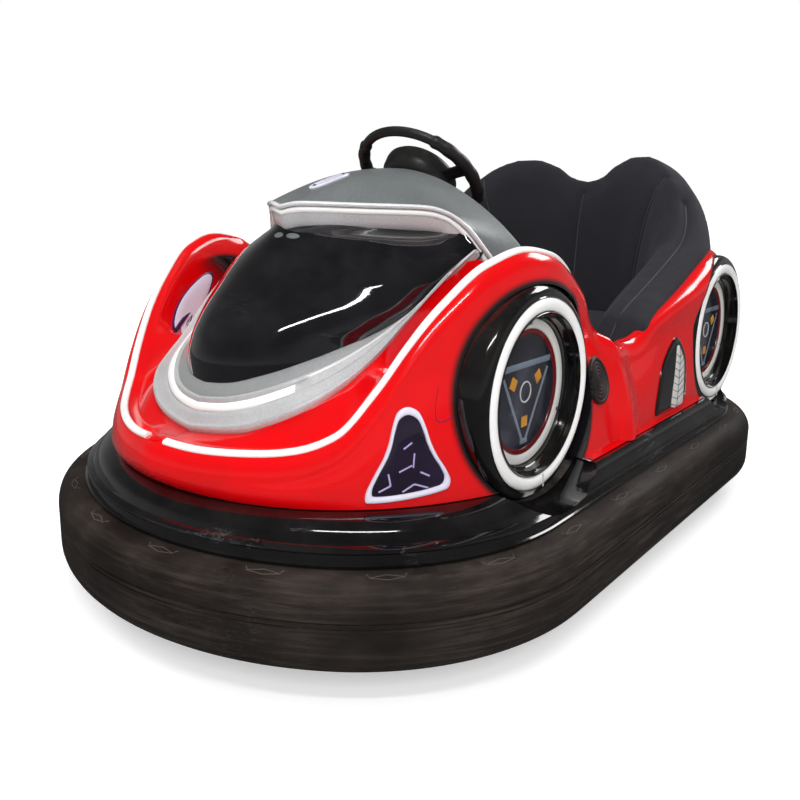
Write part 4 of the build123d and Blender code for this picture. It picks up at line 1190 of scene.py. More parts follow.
# ---- red body
@dataclass
class RedBody:
    """The double-skinned red body: nose, fenders, sides and tail in one shell."""

    # station, height of the crest, inset of the light strip's middle
    crest: Rows = (
        (0.0, 0.376, -0.004), (0.1, 0.37, 0.006), (0.214, 0.374, 0.018), (0.28, 0.382, 0.024),
        (0.348, 0.406, 0.031), (0.42, 0.478, 0.041), (0.48, 0.548, 0.051), (0.552, 0.615, 0.0615),
        (0.65, 0.679, 0.069), (0.752, 0.702, 0.076), (0.841, 0.69, 0.0806), (0.9, 0.666, 0.085),
        (0.96, 0.628, 0.088), (1.02, 0.575, 0.086), (1.08, 0.515, 0.075), (1.13, 0.484, 0.062),
        (1.2, 0.486, 0.05), (1.3, 0.523, 0.045), (1.477, 0.583, 0.043), (1.626, 0.635, 0.043),
        (1.75, 0.655, 0.045), (2.4, 0.66, 0.05))
    # direction round the windscreen's centre in degrees, height of the inner edge
    inner_heights: Rows = (
        (0.0, 0.371), (20.0, 0.388), (30.0, 0.409), (40.0, 0.434), (49.0, 0.459), (58.0, 0.488),
        (71.0, 0.54), (76.0, 0.562), (84.0, 0.592), (91.0, 0.62), (100.0, 0.652), (112.0, 0.684))
    inner_radii: Rows = (
        (0.0, 0.339), (28.0, 0.341), (38.0, 0.335), (49.0, 0.316), (58.0, 0.3), (71.0, 0.288), (84.0, 0.284),
        (92.0, 0.29), (104.0, 0.306), (112.0, 0.322))
    inner_insets: Rows = ((0.0, 0.16), (0.7, 0.165), (0.94, 0.155), (1.1, 0.125), (1.2, 0.1), (2.4, 0.1))
    screen_centre: float = -0.45
    last_direction: float = 112.0
    seat_edge: float = 0.3
    foot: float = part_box("nose_panel")[0].z
    roll_width: float = 0.03
    roll_height: float = 0.045
    inner_roll: float = 0.022
    recess: float = 0.027
    waist: float = 0.022
    belly: float = 0.007
    crest_share: float = 0.94
    outer_rows: int = 22
    inner_rows: int = 12
    columns: int = 380

    def top(self, station: Array) -> tuple[Array, Array]:
        """Height and inset of the crest's highest line."""
        s = np.abs(station)
        return table(self.crest, 1, s) + 0.001, table(self.crest, 2, s) + 0.005

    def outer(self, station: Array, share: Array) -> Array:
        """The outside, from foot (0) to crest (1).

        Args:
            station: Places along the body's outline.
            share: How far up the section.

        Returns:
            The points.
        """
        station = np.asarray(station, float)
        height, inset = self.top(station)
        roll_height = np.minimum(self.roll_height, 0.5 * (height - self.foot))
        lean = inset - self.roll_width
        straight = np.clip(share / 0.55, 0.0, 1.0)
        turn = np.clip((share - 0.55) / 0.45, 0.0, 1.0) * math.pi / 2
        z = self.foot + (height - roll_height - self.foot) * straight + roll_height * np.sin(turn)
        swell = self.belly * np.sin(straight * math.pi * 0.9) * np.cos(turn)
        inset = lean * straight + self.roll_width * (1 - np.cos(turn)) - swell
        plan, _ = BODY_LINE.at(station)
        y = plan[:, 1]
        hollow = plateau(y, -0.42, -0.33, -0.08, -0.056) * (1 - smoothstep(z, 0.5, 0.62))
        waist = plateau(y, -0.05, 0.03, 0.4, 0.56) * (1 - smoothstep(z, 0.47, 0.57))
        inset = inset + self.recess * hollow + self.waist * waist
        plan, _ = BODY_LINE.at(station, inset)
        return solid_point(plan, z)

    def inner_edge(self, station: Array) -> Array:
        """The lower edge of the inside, round the tray and along the seat."""
        station = np.asarray(station, float)
        height, inset = self.top(station)
        crest, _ = BODY_LINE.at(station, inset)
        away = crest - np.array([0.0, self.screen_centre])
        away /= np.linalg.norm(away, axis=1)[:, None]
        angle = np.degrees(np.arctan2(np.abs(away[:, 0]), -away[:, 1]))
        radius = table(self.inner_radii, 1, np.minimum(angle, self.last_direction))
        ring = np.array([0.0, self.screen_centre]) + away * radius[:, None]
        ring_z = table(self.inner_heights, 1, angle)
        along, _ = BODY_LINE.at(station, table(self.inner_insets, 1, np.abs(station)))
        late = smoothstep(np.abs(station), 0.8, 0.93)
        low = smoothstep(np.abs(station), 0.84, 0.98)
        z = ring_z * (1 - low) + self.seat_edge * low
        plan = ring * (1 - late)[:, None] + along * late[:, None]
        return solid_point(plan, z)

    def inner(self, station: Array, share: Array) -> Array:
        """The inside, from crest (0) to its lower edge (1)."""
        height, inset = self.top(station)
        edge = self.inner_edge(station)
        drop = np.clip(0.45 * (height - edge[:, 2]), 0.0, 0.03)
        turn = np.clip(share / 0.4, 0.0, 1.0) * math.pi / 2
        down = np.clip((share - 0.4) / 0.6, 0.0, 1.0)[:, None]
        plan, _ = BODY_LINE.at(station, inset + self.inner_roll * np.sin(turn))
        rolled = solid_point(plan, height - drop * (1 - np.cos(turn)))
        size = np.abs(station)
        sunk = plateau(size, 0.42, 0.58, 0.82, 0.93)[:, None]
        low, _ = BODY_LINE.at(station, inset + 0.066)
        deep = solid_point(low, np.minimum(edge[:, 2] - 0.06, 0.27))
        valley = deep * sunk + (rolled + edge) / 2 * (1 - sunk)
        return rolled * (1 - down) ** 2 + valley * 2 * down * (1 - down) + edge * down ** 2

    def crest_line(self, station: Array) -> tuple[Array, Array]:
        """The light strip's line on the crest, and the skin's normal there."""
        share = np.full_like(station, self.crest_share)
        here = self.outer(station, share)
        ahead = self.outer(station + 1e-3, share) - self.outer(station - 1e-3, share)
        over = self.outer(station, share + 1e-3) - self.outer(station, share - 1e-3)
        normal = np.cross(ahead, over)
        normal /= np.linalg.norm(normal, axis=1)[:, None]
        _, side = BODY_LINE.at(station)
        facing = np.sign(np.sum(normal[:, :2] * side, axis=1) + normal[:, 2])
        return here, normal * facing[:, None]

    def build(self) -> Mesh:
        """Make the shell and cut its wheel arches."""
        reach = BODY_LINE.length()
        count = self.outer_rows + self.inner_rows + 4

        def place(u: Array, v: Array) -> Array:
            """Points of the closed section, outside up, inside down, and back under."""
            station = (u * 2 - 1) * reach
            k = nearest_step(v, count) % count
            points = self.outer(station, np.clip(k / self.outer_rows, 0.0, 1.0))
            share = (k - self.outer_rows) / self.inner_rows
            inside = (share > 0.0) & (share <= 1.0)
            points[inside] = self.inner(station, np.clip(share, 0.0, 1.0))[inside]
            edge = self.inner_edge(station)[:, :2]
            middle, _ = BODY_LINE.at(station, 0.06)
            lip, _ = BODY_LINE.at(station, 0.008)
            under = ((edge, 0.296), (middle, self.foot + 0.002), (lip, self.foot))
            for row, (plan, height) in enumerate(under, self.outer_rows + self.inner_rows + 1):
                points[k == row] = solid_point(plan, height)[k == row]
            return points

        shell = sculpt_grid("red_body", self.columns, count, place, 50)
        scoop(shell, 0.2006, 0.078)
        smooth(shell, 50)
        panels = [
            "nose_panel", "fender_left", "fender_right", "side_left", "side_right", "tail_panel", "nose_deck"
        ]
        return settle(shell, RED, panels)


@dataclass
class CrestLights:
    """The milky light strips along the crests of nose and fenders."""

    body: RedBody
    start: float = 0.026
    end: float = 1.02
    width: float = 0.0155
    height: float = 0.01
    # share of the outline, height
    button_rows: Rows = ((0.0, -0.002), (1.0, -0.002), (1.0, 0.002), (0.8, 0.0035), (0.0, 0.004))

    def build(self) -> None:
        """Make one strip a side."""
        for side in Side:
            station = np.linspace(self.start, self.end, 150)
            path, normal = self.body.crest_line(station * side.value)
            fade = 1 - 0.85 * smoothstep(station, 0.86, self.end)
            section = rounded(self.width, self.height, 14, 3.0, 0.0005)
            strip = swept(f"crest_light_{side.word}", path, normal, section, fade)
            settle(strip, LIGHT_WHITE, ["fender_lights"])
        outline = soft_outline([(-0.013, -0.008), (0.013, -0.008), (0.013, 0.008), (-0.013, 0.008)], 0.3, 2)
        button = plaque("nose_button", outline, self.button_rows)
        here, normal = self.body.crest_line(np.array([0.0]))
        up = Vector(normal[0])
        surface = Surface(bpy.data.objects["red_body"])
        surface.lay(button, Vector(here[0]) + up * 0.05, LEFTWARD, up.cross(LEFTWARD))
        settle(button, RED)


# ---- windscreen, tray and cowl
@dataclass
class Windscreen:
    """The bulging black windscreen, whose foot rises towards the sides."""

    # height, half width, y of the sides, y of the front, how pointed the plan is
    sections: Rows = (
        (0.455, 0.31, -0.3, -0.7535, 1.5), (0.49, 0.31, -0.3, -0.756, 1.65), (0.53, 0.31, -0.3, -0.742, 1.6),
        (0.56, 0.31, -0.3, -0.715, 1.4), (0.59, 0.31, -0.3, -0.68, 1.26), (0.63, 0.31, -0.3, -0.63, 1.22),
        (0.66, 0.31, -0.3, -0.6, 1.42), (0.69, 0.309, -0.303, -0.571, 2.0),
        (0.715, 0.306, -0.31, -0.553, 3.3), (0.735, 0.3, -0.317, -0.537, 5.0), (0.8, 0.29, -0.29, -0.45, 5.4)
    )
    # direction in the sections' own angle, height of the foot
    foot: Rows = (
        (0.0, 0.455), (10.0, 0.46), (21.0, 0.477), (32.8, 0.504), (41.4, 0.528), (50.2, 0.554),
        (59.1, 0.589), (66.8, 0.63), (75.4, 0.672), (88.0, 0.698))
    spread: float = 88.0
    crown: float = 0.77
    foot_drop: float = 0.012
    top_half: float = 0.302
    lip_gap: float = 0.022
    # share of a vent's outline, height
    vent_rows: Rows = ((0.0, -0.001), (1.0, -0.001), (1.0, 0.001), (0.85, 0.0018), (0.0, 0.0012))

    def point(self, angle: Array, z: Array, swell: float = 0.0) -> Array:
        """A point of the screen.

        Args:
            angle: Degrees round it from the front, positive to the left.
            z: Height.
            swell: How far outside the skin.

        Returns:
            The points.
        """
        half, side, front, power = (table(self.sections, c, z) for c in (1, 2, 3, 4))
        a = np.radians(angle)
        x = (half + swell) * np.sin(a)
        y = side - (side - front + swell) * np.sign(np.cos(a)) * np.abs(np.cos(a)) ** power
        return np.stack([x, y, z * np.ones_like(x)], 1)

    def foot_height(self, angle: Array) -> Array:
        """Height of the rising foot."""
        return table(self.foot, 1, np.abs(np.asarray(angle, float)))

    def build(self) -> Mesh:
        """Make the screen and its two vents."""

        def place(u: Array, v: Array) -> Array:
            """Points from the foot up."""
            angle = (u * 2 - 1) * self.spread
            low = self.foot_height(angle) - self.foot_drop
            out = self.top_half * np.abs(np.sin(np.radians(angle)))
            high = np.maximum(np.minimum(self.crown, table(Cowl.lip, 1, out) - self.lip_gap), low + 0.006)
            return self.point(angle, low + (high - low) * v)

        screen = sculpt_grid("windscreen_dome", 120, 48, place, 60)
        modify(screen, "SOLIDIFY", thickness=0.004, offset=-1.0)
        smooth(screen, 60)
        settle(screen, SCREEN, ["windscreen"])
        surface = Surface(screen)
        vents = []
        for x, wide in ((-0.012, 0.026), (0.026, 0.03)):
            vent = plaque("vent", ellipse(wide / 2, 0.006, 24), self.vent_rows)
            vents.append(surface.lay(vent, Vector((x, -0.78, 0.8)), LEFTWARD, Vector((0, 0.35, 1))))
        settle(joined("screen_vents", vents), SATIN_GREY)
        return screen


@dataclass
class Tray:
    """The silver tray round the windscreen's foot, with its groove and light strip."""

    body: RedBody
    screen: Windscreen
    spread: float = 80.0
    notch: float = 31.5
    strip_end: float = 29.8
    strip_start: float = -70.0
    # share of the way out, lift
    rows: Rows = (
        (-0.1, -0.004), (0.0, 0.0), (0.1, 0.0008), (0.22, 0.001), (0.27, 0.0012), (0.305, 0.0042),
        (0.345, 0.006), (0.38, 0.0044), (0.393, 0.002), (0.4, 0.0), (0.6, 0.0), (0.607, 0.0026),
        (0.64, 0.0036), (0.72, 0.004), (0.84, 0.0036), (0.895, 0.0044), (0.93, 0.0062), (0.965, 0.0056),
        (0.99, 0.003), (1.0, 0.0), (1.01, -0.006))
    # share of the way out, lift
    strip_section: Rows = (
        (0.412, -0.0006), (0.416, 0.0028), (0.44, 0.004), (0.5, 0.0044), (0.56, 0.004), (0.584, 0.0028),
        (0.588, -0.0006))
    band_section: Rows = (
        (-0.06, -0.001), (0.0, 0.0014), (0.03, 0.0022), (0.14, 0.0026), (0.25, 0.0026), (0.28, 0.002),
        (0.29, -0.001))

    def edges(self, angle: Array) -> tuple[Array, Array]:
        """The tray's upper and lower edges."""
        upper = self.screen.point(angle, self.screen.foot_height(angle), 0.001)
        middle = np.array([0.0, self.body.screen_centre])
        away = upper[:, :2] - middle
        away /= np.linalg.norm(away, axis=1)[:, None]
        turn = np.minimum(np.degrees(np.arctan2(np.abs(away[:, 0]), -away[:, 1])), self.body.last_direction)
        plan = middle + away * (table(self.body.inner_radii, 1, turn) + 0.005)[:, None]
        lower = solid_point(plan, table(self.body.inner_heights, 1, turn) + 0.003)
        return upper, lower

    def skin(self, angle: Array, share: Array, lift: Array) -> Array:
        """Points between the edges, lifted off the straight line."""
        upper, lower = self.edges(angle)
        a = np.radians(angle)
        normal = np.stack([np.sin(a) * 0.62, -np.cos(a) * 0.62, np.full_like(a, 0.78)], 1)
        return upper + (lower - upper) * share[:, None] + normal * lift[:, None]

    def build(self) -> None:
        """Make the tray and the strip in its groove."""
        rows = np.array(self.rows)

        def place(u: Array, v: Array) -> Array:
            """Points of the tray's top."""
            angle = (u * 2 - 1) * self.spread
            k = nearest_step(v, len(rows) - 1)
            lift = rows[k, 1]
            groove = (rows[k, 0] > 0.385) & (rows[k, 0] < 0.605)
            filled = smoothstep(angle, self.notch, self.notch + 1.0)
            lift = np.where(groove, lift + (0.004 - lift) * filled, lift)
            return self.skin(angle, rows[k, 0], lift)

        tray = sculpt_grid("silver_tray", 200, len(rows) - 1, place, 35)
        modify(tray, "SOLIDIFY", thickness=0.003, offset=-1.0)
        smooth(tray, 35)
        settle(tray, SILVER, ["tray"])
        section = np.array(self.strip_section)
        middle, count = 0.5, 132

        def place_strip(u: Array, v: Array) -> Array:
            """Points of the strip, drawn together at its ends."""
            end, along = capped(u, count)
            angle = self.strip_start + (self.strip_end - self.strip_start) * along
            k = nearest_step(v, len(section)) % len(section)
            narrow = 0.45 + 0.55 * smoothstep(angle, self.strip_start, self.strip_start + 22.0)
            share = middle + (section[k, 0] - middle) * narrow
            return self.skin(angle, np.where(end, middle, share), np.where(end, 0.001, section[k, 1]))

        strip = sculpt_grid("tray_light_strip", count, len(section), place_strip, 50)
        settle(strip, LIGHT_WHITE, ["tray_light"])
        band = self.upper_band()
        settle(band, TRAY_SATIN)

    def upper_band(self) -> Mesh:
        """The flat satin band next to the windscreen."""
        section = np.array(self.band_section)
        count = 160

        def place(u: Array, v: Array) -> Array:
            """Points of the band, drawn together at its ends."""
            k = nearest_step(v, len(section)) % len(section)
            end, along = capped(u, count)
            angle = (along * 2 - 1) * (self.spread - 1.0)
            return self.skin(angle, np.where(end, 0.13, section[k, 0]), np.where(end, 0.001, section[k, 1]))

        return sculpt_grid("tray_satin_band", count, len(section), place, 40)


@dataclass
class Cowl:
    """The grey hood over the windscreen, its lip with a painted highlight, light strip and badge."""

    nose: float = -0.5573
    nose_radius: float = 0.05
    reach: float = 0.347
    # distance from the middle, height of the lip
    lip: Rows = (
        (0.0, 0.7765), (0.042, 0.783), (0.14, 0.779), (0.2, 0.7765), (0.228, 0.774), (0.252, 0.765),
        (0.28, 0.74), (0.311, 0.689), (0.347, 0.62))
    spread: float = 76.0
    rear: float = -0.212
    crown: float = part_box("cowl")[1].z
    half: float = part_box("cowl")[1].x
    fall: float = 1.36
    # inset and drop from the lip
    band_section: Rows = (
        (0.008, 0.014), (0.008, 0.022), (0.011, 0.034), (0.015, 0.044), (0.022, 0.049), (0.032, 0.047),
        (0.036, 0.03), (0.028, 0.014))
    # share of the outline, height
    plate_rows: Rows = (
        (0.0, -0.001), (1.0, -0.001), (1.0, 0.002), (0.96, 0.003), (0.8, 0.0034), (0.5, 0.0036),
        (0.0, 0.0036))
    # place along the axis, radius
    screw_profile: Rows = ((0.0, 0.0), (0.0, 0.0042), (0.0012, 0.004), (0.002, 0.0028), (0.0022, 0.0))

    def lip_point(self, angle: Array, inset: float | Array = 0.0, drop: float | Array = 0.0) -> Array:
        """Points of the lip, or inside and below it; on the legs, below is also inwards along the lip."""
        x = self.reach * np.sin(np.radians(angle * 90.0 / self.spread))
        span = np.sqrt(x * x + self.nose_radius ** 2)
        slope = x / span
        size = np.sqrt(1.0 + slope * slope)
        steep = smoothstep(np.abs(x), 0.235, 0.285)
        side = np.sign(x) * 0.75 * steep * drop
        px = x - slope / size * inset - side / size
        py = self.nose + span - self.nose_radius + inset / size - side * slope / size
        return np.stack([px, py, table(self.lip, 1, np.abs(x)) - drop * (1 - 0.35 * steep)], 1)

    def rear_point(self, angle: Array) -> Array:
        """Points of the rear edge."""
        x = (self.half - 0.004) * np.sin(np.radians(angle) * 90.0 / self.spread)
        z = self.crown - self.fall * x * x
        return np.stack([x, self.rear - 0.1 * np.clip(np.abs(x) / self.half - 0.75, 0, 1) ** 1.5, z], 1)

    def dome(self, angle: Array, share: Array) -> Array:
        """Points of the hood from lip (0) to rear edge (1)."""
        low, high = self.lip_point(angle), self.rear_point(angle)
        rise = np.sin(share * math.pi / 2) ** 0.96
        plan = low[:, :2] + (high[:, :2] - low[:, :2]) * share[:, None]
        z = low[:, 2] + (high[:, 2] - low[:, 2]) * rise
        return np.concatenate([plan, z[:, None]], 1)

    def build(self) -> None:
        """Make the hood, the pieces under its lip and the badge."""

        def place(u: Array, v: Array) -> Array:
            """Points of the hood."""
            return self.dome((u * 2 - 1) * self.spread, v)

        hood = sculpt_grid("cowl_hood", 120, 40, place, 60)
        modify(hood, "SOLIDIFY", thickness=0.005, offset=-1.0)
        modify(hood, "BEVEL", width=0.0015, segments=2, limit_method="ANGLE", angle_limit=math.radians(60))
        smooth(hood, 60)
        settle(hood, SATIN_GREY, ["cowl"])
        self.under_lip()
        self.badge(hood)

    def ring(
        self, name: str, rows: Corners, finish: Finish, slot: str, spread: float,
        replaces: Sequence[str] = ()
    ) -> None:
        """A closed bar under the lip.

        Args:
            name: The piece's name.
            rows: Inset and drop from the lip, round the bar's section.
            finish: Its surface.
            slot: The record's slot; not used.
            spread: Degrees that it covers each way.
            replaces: CAD nodes that it stands for.
        """
        shape = np.array(rows)
        count = 130

        def place(u: Array, v: Array) -> Array:
            """Points of the bar, drawn together at its ends."""
            end, along = capped(u, count)
            k = nearest_step(v, len(shape)) % len(shape)
            inset, drop = (np.where(end, shape[:, c].mean(), shape[k, c]) for c in (0, 1))
            return self.lip_point((along * 2 - 1) * spread, inset, drop)

        settle(sculpt_grid(name, count, len(shape), place, 45), finish, replaces)

    def under_lip(self) -> None:
        """The lip in silver paint lightened as a painted highlight, the milky strip and the silver band
        below the hood's edge.
        """
        lip = ellipse(-0.006, 0.0048, 12, (0.004, 0.001))
        # the lip's silver paint is lightened as a painted highlight
        self.ring("cowl_lip_painted_highlight", lip, HIGHLIT_SILVER, "silver_paint", self.spread)
        strip = ellipse(-0.009, 0.007, 14, (0.012, 0.0125))
        self.ring("cowl_light_strip", strip, LIGHT_WHITE, "light_white", self.spread - 3.0, ["cowl_light"])
        self.ring("cowl_silver_band", self.band_section, SILVER, "silver_paint", self.spread - 1.0)

    def badge(self, hood: Mesh) -> None:
        """A blank rounded badge with two screws."""
        outline = soft_outline([(-0.017, -0.058), (0.017, -0.058), (0.017, 0.058), (-0.017, 0.058)], 0.22, 3)
        surface = Surface(hood)
        origin = Vector((0.0, -0.414 - 0.078, 0.832 + 0.2))
        up = Vector((0.0, 0.93, 0.36))
        plate = plaque("cowl_badge", outline, self.plate_rows)
        surface.lay(plate, origin, LEFTWARD, up)
        settle(plate, LAVENDER, ["badge_plate"])
        toward = up.cross(LEFTWARD).normalized()
        screws = []
        for offset in (-0.045, 0.045):
            spot, _ = surface.hit(origin + up.normalized() * offset, toward)
            screws.append(
                spun(
                    "screw", self.screw_profile, spot + Vector((0, -0.0012, 0.003)),
                    Vector((0.0, -0.36, 0.93)), 16))
        settle(joined("badge_screws", screws), BARE_STEEL)


# ---- fittings on the red body
@dataclass
class FenderLamps:
    """Bell-shaped dark lamps with pale outlines on the fenders' fronts."""

    centre: tuple[float, float, float] = (0.418, -0.672, 0.374)
    outline: Rows = (
        (-0.08, -0.066), (-0.066, -0.076), (0.062, -0.062), (0.08, -0.05), (0.074, -0.026), (0.044, 0.016),
        (0.03, 0.066), (0.014, 0.092), (-0.014, 0.092), (-0.026, 0.066), (-0.036, 0.016), (-0.06, -0.024))
    facing: float = 47.0
    share: float = 0.95
    cell_height: float = 0.0052
    cells: Rows = (
        (-0.05, -0.05, -0.03, -0.04), (-0.03, -0.04, -0.034, -0.02), (-0.01, -0.052, 0.01, -0.04),
        (0.01, -0.04, 0.034, -0.048), (-0.016, -0.018, 0.006, -0.008), (0.02, -0.02, 0.036, -0.028),
        (-0.008, 0.02, 0.006, 0.03), (0.008, -0.012, 0.01, 0.012))
    # share of the outline, height
    lens_rows: Rows = (
        (0.0, -0.001), (0.96, -0.001), (0.96, 0.0015), (0.88, 0.003), (0.74, 0.0042), (0.6, 0.0048),
        (0.42, 0.0052), (0.22, 0.0054), (0.0, 0.0054))
    rim_rows: Rows = (
        (0.84, -0.001), (1.0, -0.001), (1.01, 0.003), (1.0, 0.0052), (0.965, 0.0068), (0.92, 0.007),
        (0.875, 0.0058), (0.855, 0.0035), (0.84, -0.001))

    def build(self, shell: Surface) -> None:
        """Lay a lens, its outline and pale cell marks on each fender."""
        soft = [(px * self.share, py * self.share) for px, py in soft_outline(self.outline, 0.3, 3)]
        for side in Side:
            a = math.radians(self.facing)
            out = Vector((math.sin(a) * side.value, -math.cos(a), 0.1)).normalized()
            right = UP.cross(out).normalized()
            up = out.cross(right).normalized()
            x, y, z = self.centre
            origin = Vector((x * side.value, y, z)) + out * 0.15
            shape = [(px * side.value, py) for px, py in soft]
            lens = plaque(f"fender_lamp_{side.word}", shape, self.lens_rows)
            settle(shell.lay(lens, origin, right, up), LAMP_BLACK, ["fender_lamps"])
            rim = plaque(f"fender_lamp_rim_{side.word}", shape, self.rim_rows)
            settle(shell.lay(rim, origin, right, up), LAVENDER)
            marks = []
            for x0, y0, x1, y1 in self.cells:
                ends = (x0 * side.value, y0, self.cell_height), (x1 * side.value, y1, self.cell_height)
                marks.append(swept("cell", np.linspace(*ends, 4), UP, rounded(0.003, 0.0014, 6)))
            cells = joined(f"fender_lamp_cells_{side.word}", marks)
            settle(shell.lay(cells, origin, right, up), VIOLET)


@dataclass
class Headlamps:
    """Crescent lamps on the inner faces of the fenders."""

    outline: Rows = (
        (-0.606, 0.418), (-0.606, 0.458), (-0.59, 0.503), (-0.552, 0.551), (-0.494, 0.588), (-0.432, 0.614),
        (-0.41, 0.608), (-0.412, 0.592), (-0.436, 0.56), (-0.462, 0.524), (-0.49, 0.492), (-0.53, 0.468))
    cell_height: float = 0.0054
    # share of the outline, height
    edge_rows: Rows = (
        (0.0, -0.001), (1.0, -0.001), (1.0, 0.002), (0.97, 0.0028), (0.9, 0.0028), (0.0, 0.0028))
    lamp_rows: Rows = (
        (0.0, 0.0), (1.0, 0.0), (1.0, 0.0036), (0.92, 0.0046), (0.6, 0.005), (0.3, 0.005), (0.0, 0.005))

    def build(self, shell: Surface) -> None:
        """Lay a pale crescent with a dark edge and cells on each inner face."""
        corners = np.array(self.outline)
        middle = corners.mean(axis=0)
        soft = soft_outline(corners - middle, 0.25, 2)
        for side in Side:
            shape = [(-side.value * px, py) for px, py in soft]
            origin = Vector((0.318 * side.value, middle[0], middle[1]))
            right = Vector((0.0, -side.value, 0.0))
            edge = plaque(f"headlamp_edge_{side.word}", shape, self.edge_rows)
            settle(shell.lay(edge, origin, right), PLUM, ["headlamps"])
            pale = plaque(
                f"headlamp_{side.word}", [(px * 0.9, py * 0.93 + 0.001) for px, py in shape], self.lamp_rows)
            settle(shell.lay(pale, origin, right), LAVENDER)
            bars = []
            for k in range(4):
                z = 0.44 + 0.02 * k - middle[1]
                y = (-0.558 + 0.006 * k) - middle[0]
                for tilt in (0.7, -0.7):
                    ends = (y, z, self.cell_height), (y + 0.03, z + tilt * 0.024, self.cell_height)
                    path = np.linspace(*ends, 5)
                    path[:, 0] *= -side.value
                    bars.append(swept("cell", path, UP, rounded(0.002, 0.0014, 6)))
            cells = joined(f"headlamp_cells_{side.word}", bars)
            settle(shell.lay(cells, origin, right), PLUM)


@dataclass
class SidePanels:
    """Slanted gloss black panels with a herringbone strip, before the rear wheels."""

    panel: Rows = (
        (0.126, 0.296), (0.121, 0.31), (0.128, 0.345), (0.15, 0.4), (0.178, 0.432), (0.238, 0.47),
        (0.262, 0.462), (0.3, 0.415), (0.311, 0.31), (0.306, 0.296))
    strip: Rows = ((0.206, 0.3), (0.287, 0.3), (0.287, 0.316), (0.28, 0.41), (0.252, 0.448), (0.24, 0.448))
    bar_foot: float = 0.302
    bar_height: float = 0.0056
    rise: float = 0.012
    # share of the outline, height
    panel_rows: Rows = (
        (0.0, -0.001), (1.0, -0.001), (1.0, 0.002), (0.97, 0.0034), (0.8, 0.0038), (0.6, 0.0038),
        (0.4, 0.0038), (0.2, 0.0038), (0.0, 0.0038))
    strip_rows: Rows = (
        (0.0, 0.001), (1.0, 0.001), (1.0, 0.0048), (0.97, 0.0054), (0.6, 0.0054), (0.3, 0.0054),
        (0.0, 0.0054))

    def build(self, shell: Surface) -> None:
        """Lay the panel, the strip and its herringbone on each side."""
        middle = np.array(self.panel).mean(axis=0)
        for side in Side:
            origin = Vector((BESIDE * side.value, middle[0], middle[1]))
            right = Vector((0, side.value, 0))

            def flat(points: Corners, rounding: float) -> list[Pair]:
                """Corners seen from outside this side."""
                return soft_outline(
                    [((y - middle[0]) * side.value, z - middle[1]) for y, z in points], rounding, 2)

            panel = plaque(f"side_panel_{side.word}", flat(self.panel, 0.25), self.panel_rows)
            settle(shell.lay(panel, origin, right), TUB_BLACK, ["side_panels"])
            strip = plaque(f"side_panel_strip_{side.word}", flat(self.strip, 0.12), self.strip_rows)
            settle(shell.lay(strip, origin, right), RING_GREY)

            def raised(y: float, z: float) -> tuple[float, float, float]:
                """A point of the herringbone, over the strip."""
                return (y - middle[0]) * side.value, z - middle[1], self.bar_height

            bars = []
            for k in range(8):
                low = self.bar_foot + 0.0165 * k
                front, rear = 0.205 + 0.0042 * k, 0.285 - 0.0018 * k
                tips = ((front, low + self.rise), ((front + rear) / 2, low), (rear, low + self.rise))
                for start, end in zip(tips, tips[1:]):
                    path = np.linspace(raised(*start), raised(*end), 6)
                    bars.append(swept("herring", path, UP, rounded(0.0016, 0.001, 6)))
            spine = np.array([raised(0.2445 + 0.0012 * k, self.bar_foot + 0.0175 * k) for k in range(9)])
            bars.append(swept("spine", spine, UP, rounded(0.0014, 0.001, 6)))
            chevrons = joined(f"side_panel_chevrons_{side.word}", bars)
            settle(shell.lay(chevrons, origin, right), LAMP_BLACK)


@dataclass
class SpeakerCovers:
    """Round black speaker covers in the hollows behind the front wheels."""

    centre: tuple[float, float] = (-0.13, 0.425)
    radius: float = 0.048
    holes: int = 5
    # share of the radius, height
    rim_rows: Rows = (
        (0.0, -0.001), (1.0, -0.001), (1.0, 0.005), (0.95, 0.0075), (0.86, 0.0078), (0.82, 0.005))

    def build(self, shell: Surface) -> None:
        """Lay a ringed cover with rows of pips on each side."""
        for side in Side:
            origin = Vector((BESIDE * side.value, *self.centre))
            circle = ellipse(self.radius, self.radius, 56)
            rows = list(self.rim_rows)
            for k in range(self.holes * 2):
                rows.append((0.78 - 0.075 * k, 0.0056 + (0.0012 if k % 2 else 0.0)))
            rows.append((0.0, 0.0066))
            cover = plaque(f"speaker_cover_{side.word}", circle, rows, 30)
            shell.lay(cover, origin, Vector((0, side.value, 0)))
            settle(cover, SPEAKER_BLACK, ["speaker_covers"])


